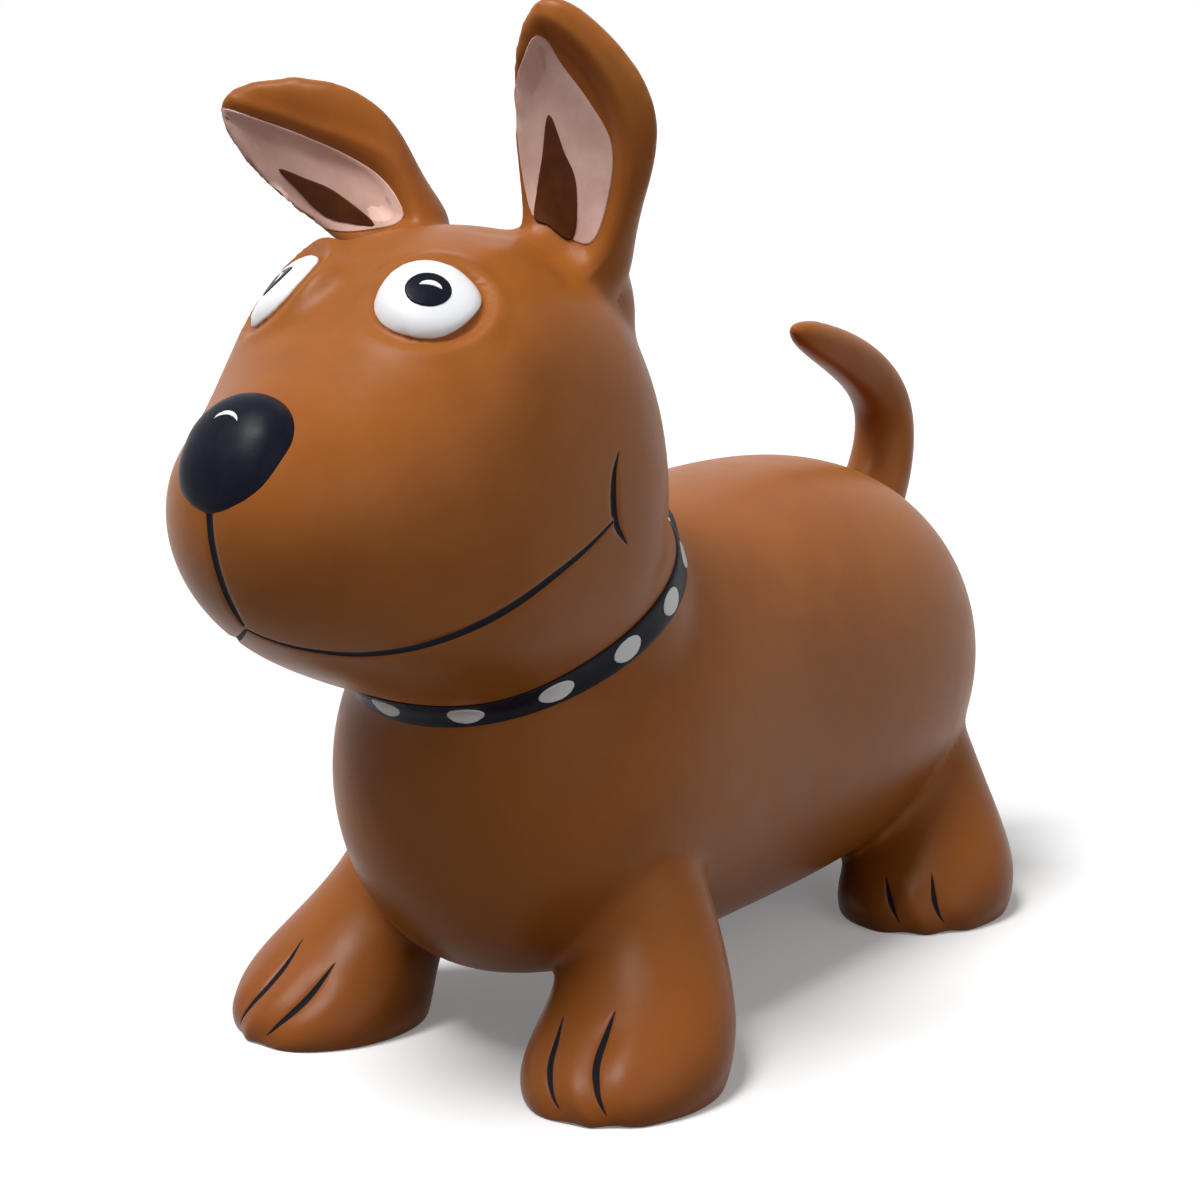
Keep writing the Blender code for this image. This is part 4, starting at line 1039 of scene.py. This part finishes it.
WEDGE_BROWN = (0.105, 0.030, 0.009, 1)
lining_paint, shade, shader = new_finish("lining_paint", IOR=1.5, Specular_IOR_Level=0.12)
clouds = shade.noise(60.0, 4.0, 0.6)
feed(shade, shader,
     Base_Color=shade.mixed(shade.step(clouds, 0.35, 0.7), PINK, PINK_PALE),
     Roughness=shade.step(clouds, 0.3, 0.7, 0.42, 0.55),
     Normal=shade.bump(shade.noise(500.0, 3.0), 0.00010, 0.6))
wedge_paint, shade, shader = new_finish("wedge_paint", IOR=1.5, Specular_IOR_Level=0.10)
clouds = shade.noise(80.0, 4.0, 0.6)
feed(shade, shader,
     Base_Color=shade.mixed(shade.step(clouds, 0.35, 0.7), WEDGE_DARK, WEDGE_BROWN),
     Roughness=shade.step(clouds, 0.3, 0.7, 0.42, 0.52),
     Normal=shade.bump(shade.noise(500.0, 3.0), 0.00008, 0.6))
for side in EAR_LENGTH:
    for kind, shares, foot, material, slot, node in (
            ("lining", LINING, 0.0, lining_paint, "lining_paint", "ear_lining"),
            ("wedge", WEDGE, LINING_PROUD, wedge_paint, "fold_paint", "ear_fold")):
        outline = ear_outline(side, shares[side])
        middle = outline.mean(axis=0)
        place = ear_place(side) @ Matrix.Translation((middle[0], middle[1], 0))
        sheet = relief(f"ear_{kind}_{side}", (outline - middle).tolist(), place, foot, LINING_PROUD,
                       reach=LINING_REACH)
        finished(sheet, material, slot, f"{node}_{side}")
        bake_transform(sheet)

# The collar
# A flat band moulded round the neck under the chin, painted navy, with white ovals at an even spacing.
COLLAR_WIDTH = 0.0150
COLLAR_PROUD = 0.0016
COLLAR_SUNK = 0.0008
COLLAR_RISE = 0.0012
COLLAR_TURNS = 160
COLLAR_PROFILE = 20
# Thickness of the ring that the band is made from, and the powers that square it off.
COLLAR_RING = 0.25
COLLAR_SQUARED = 0.55
COLLAR_FLATTENED = 0.45
STUD_COUNT = 13
STUD_START = math.radians(18.2)
STUD_LENGTH = 0.0175
STUD_WIDTH = 0.0110
STUD_POINTS = 40
STUD_PROUD = 0.0004
STUD_DOME = 0.0003
collar_middle = NECK_MIDDLE + neck_out * COLLAR_RISE
bpy.ops.mesh.primitive_torus_add(major_segments=COLLAR_TURNS, minor_segments=COLLAR_PROFILE, major_radius=1,
                                 minor_radius=COLLAR_RING)
collar = bpy.context.object
collar.name = collar.data.name = "collar_band"
for vertex in collar.data.vertices:
    x, y, z = vertex.co
    turn = math.atan2(x, -y)
    out, rise = (math.hypot(x, y) - 1) / COLLAR_RING, z / COLLAR_RING
    level = math.copysign(abs(rise) ** COLLAR_SQUARED, rise) * COLLAR_WIDTH / 2
    proud = COLLAR_PROUD * out ** COLLAR_FLATTENED if out > 0 else -COLLAR_SUNK
    aim = Vector((math.sin(turn), 0, 0)) - neck_back * math.cos(turn)
    hit = surface.ray_cast(collar_middle + neck_out * level, aim)[0]
    vertex.co = hit + aim * proud
collar.data.update()
face_outwards()
bpy.ops.object.shade_smooth()
finished(collar, navy_paint, "navy_paint", "collar_band")
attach(collar, "skin")
for number in range(STUD_COUNT):
    turn = STUD_START + 2 * math.pi * number / STUD_COUNT
    aim = Vector((math.sin(turn), 0, 0)) - neck_back * math.cos(turn)
    hit = surface.ray_cast(collar_middle, aim)[0]
    place = facing(hit, aim, neck_out)
    stud = relief(f"collar_stud_{number + 1:02d}", oval_outline(STUD_LENGTH, STUD_WIDTH, STUD_POINTS), place,
                  COLLAR_PROUD, STUD_PROUD, STUD_DOME)
    finished(stud, white_paint, "white_paint", f"collar_stud_{number + 1:02d}")
    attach(stud, "skin")

# The valve
# A short tube of harder plastic bonded into the belly, and the soft plug that is pushed into it. The plug's
# head has a rounded rim and a finger dimple. Both are turned from profiles of radius and height.
VALVE_TURNS = 48
VALVE_IVORY = (0.66, 0.64, 0.58, 1)
VALVE_PALE = (0.74, 0.72, 0.66, 1)
valve_plastic, shade, shader = new_finish("valve_plastic", IOR=1.5)
clouds = shade.noise(200.0, 3.0)
feed(shade, shader,
     Base_Color=shade.mixed(shade.step(clouds, 0.3, 0.7), VALVE_IVORY, VALVE_PALE),
     Roughness=shade.step(clouds, 0.3, 0.7, 0.38, 0.50),
     Normal=shade.bump(clouds, 0.00005, 0.5))
seat_low, seat_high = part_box("valve_seat")
plug_low, plug_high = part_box("valve_plug")
valve_middle = Vector(((seat_low[0] + seat_high[0]) / 2, (seat_low[1] + seat_high[1]) / 2, 0))


def turned(name, profile):
    """A round piece turned from a profile of radius and height."""
    turns = [2 * math.pi * step / VALVE_TURNS for step in range(VALVE_TURNS)]
    return drawn_out(name, [
        [valve_middle + Vector((math.cos(turn) * radius, math.sin(turn) * radius, height)) for turn in turns]
        for radius, height in profile])


bottom, top = seat_low[2], seat_high[2]
seat = turned("valve_seat", [
    (0.0050, top - 0.001), (0.0052, top), (0.0092, top), (0.0096, top - 0.0008), (0.0096, bottom + 0.0022),
    (0.0116, bottom + 0.0018), (0.0120, bottom + 0.0009), (0.0114, bottom), (0.0054, bottom),
    (0.0050, bottom + 0.0006)])
bpy.ops.object.mode_set(mode="EDIT")
bpy.ops.mesh.select_all(action="DESELECT")
mesh = bmesh.from_edit_mesh(seat.data)
ends = [face for face in mesh.faces if len(face.verts) == VALVE_TURNS]
bmesh.ops.bridge_loops(mesh, edges=[edge for face in ends for edge in face.edges])
bmesh.ops.delete(mesh, geom=ends, context="FACES_ONLY")
bmesh.update_edit_mesh(seat.data)
face_outwards()
finished(seat, valve_plastic, "valve_plastic", "valve_seat")
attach(seat, "skin")
bottom, top = plug_low[2], plug_high[2]
plug = turned("valve_plug", [
    (0.0012, top), (0.0028, top), (0.0046, top - 0.004), (0.0046, bottom + 0.0023), (0.0094, bottom + 0.0022),
    (0.0100, bottom + 0.0014), (0.0097, bottom + 0.0004), (0.0088, bottom), (0.0064, bottom + 0.0001),
    (0.0050, bottom + 0.0007), (0.0020, bottom + 0.0010)])
finished(plug, valve_plastic, "valve_plastic", "valve_plug")
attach(plug, "plug")

# Floor, light and camera
# A plain white floor that runs on into the white behind it, a broad soft light from above and ahead, a weaker
# one from the toy's left, and the camera where the photograph was taken from.
CAMERA_AZIMUTH = math.radians(33.402)
CAMERA_ELEVATION = math.radians(11.572)
CAMERA_DISTANCE = 1.2337
CAMERA_TARGET = Vector((0.0823, -0.1365, 0.2349))
CAMERA_LENS = 82.69
CAMERA_SENSOR = 36
ROOM_LIGHT = 0.16
PAPER_BOUNCE = 0.10
PAPER_WHITE = 0.85
PAPER_GLOW = 0.16
FLOOR_SIZE = 60
KEY_PLACE = (-0.26, -0.95, 2.2)
KEY_STRENGTH = 3.35
KEY_SPREAD = math.radians(24)
FILL_PLACE = (2.2, -0.6, 1.0)
FILL_STRENGTH = 0.62
FILL_SPREAD = math.radians(60)
LIT_PLACE = (0, 0, 0.2)


def seen_by_camera(shade):
    """One where the camera sees a place, straight or reflected, and nothing where it lights the toy."""
    kinds = ("Is Camera Ray", "Is Glossy Ray", "Is Transmission Ray")
    straight, reflected, passed_on = (shade.light_path(kind) for kind in kinds)
    return straight + reflected + passed_on


bpy.ops.mesh.primitive_plane_add(size=FLOOR_SIZE)
floor = bpy.context.object
floor.name = "floor"
paper, shade, shader = new_finish("white_paper", Roughness=1.0, Emission_Strength=1, Specular_IOR_Level=0)
seen = seen_by_camera(shade)
feed(shade, shader,
     Base_Color=PAPER_BOUNCE + seen * (PAPER_WHITE - PAPER_BOUNCE),
     Emission_Color=seen * PAPER_GLOW)
floor.data.materials.append(paper)
world = bpy.data.worlds.new("studio")
bpy.context.scene.world = world
world.use_nodes = True
shade = Shade(world.node_tree)
brightness = ROOM_LIGHT + seen_by_camera(shade) * (1 - ROOM_LIGHT)
world.node_tree.links.new(brightness.socket, world.node_tree.nodes["Background"].inputs["Strength"])
world.node_tree.nodes["Background"].inputs["Color"].default_value = (1, 1, 1, 1)


def lamp(name, place, strength, spread):
    """A broad light from the direction of a place, turned to the toy."""
    light = bpy.data.lights.new(name, "SUN")
    light.energy = strength
    light.angle = spread
    stand = bpy.data.objects.new(name, light)
    bpy.context.scene.collection.objects.link(stand)
    stand.matrix_world = facing(Vector(place), Vector(place) - Vector(LIT_PLACE))


lamp("key", KEY_PLACE, KEY_STRENGTH, KEY_SPREAD)
lamp("fill", FILL_PLACE, FILL_STRENGTH, FILL_SPREAD)
back = Vector((math.sin(CAMERA_AZIMUTH) * math.cos(CAMERA_ELEVATION),
               -math.cos(CAMERA_AZIMUTH) * math.cos(CAMERA_ELEVATION), math.sin(CAMERA_ELEVATION)))
camera = bpy.data.objects.new("camera", bpy.data.cameras.new("camera"))
bpy.context.scene.collection.objects.link(camera)
camera.matrix_world = facing(CAMERA_TARGET + back * CAMERA_DISTANCE, back)
camera.data.sensor_width = CAMERA_SENSOR
camera.data.lens = CAMERA_LENS
camera.data.clip_start = 0.01
bpy.context.scene.camera = camera
bpy.context.scene.view_settings.view_transform = "Standard"
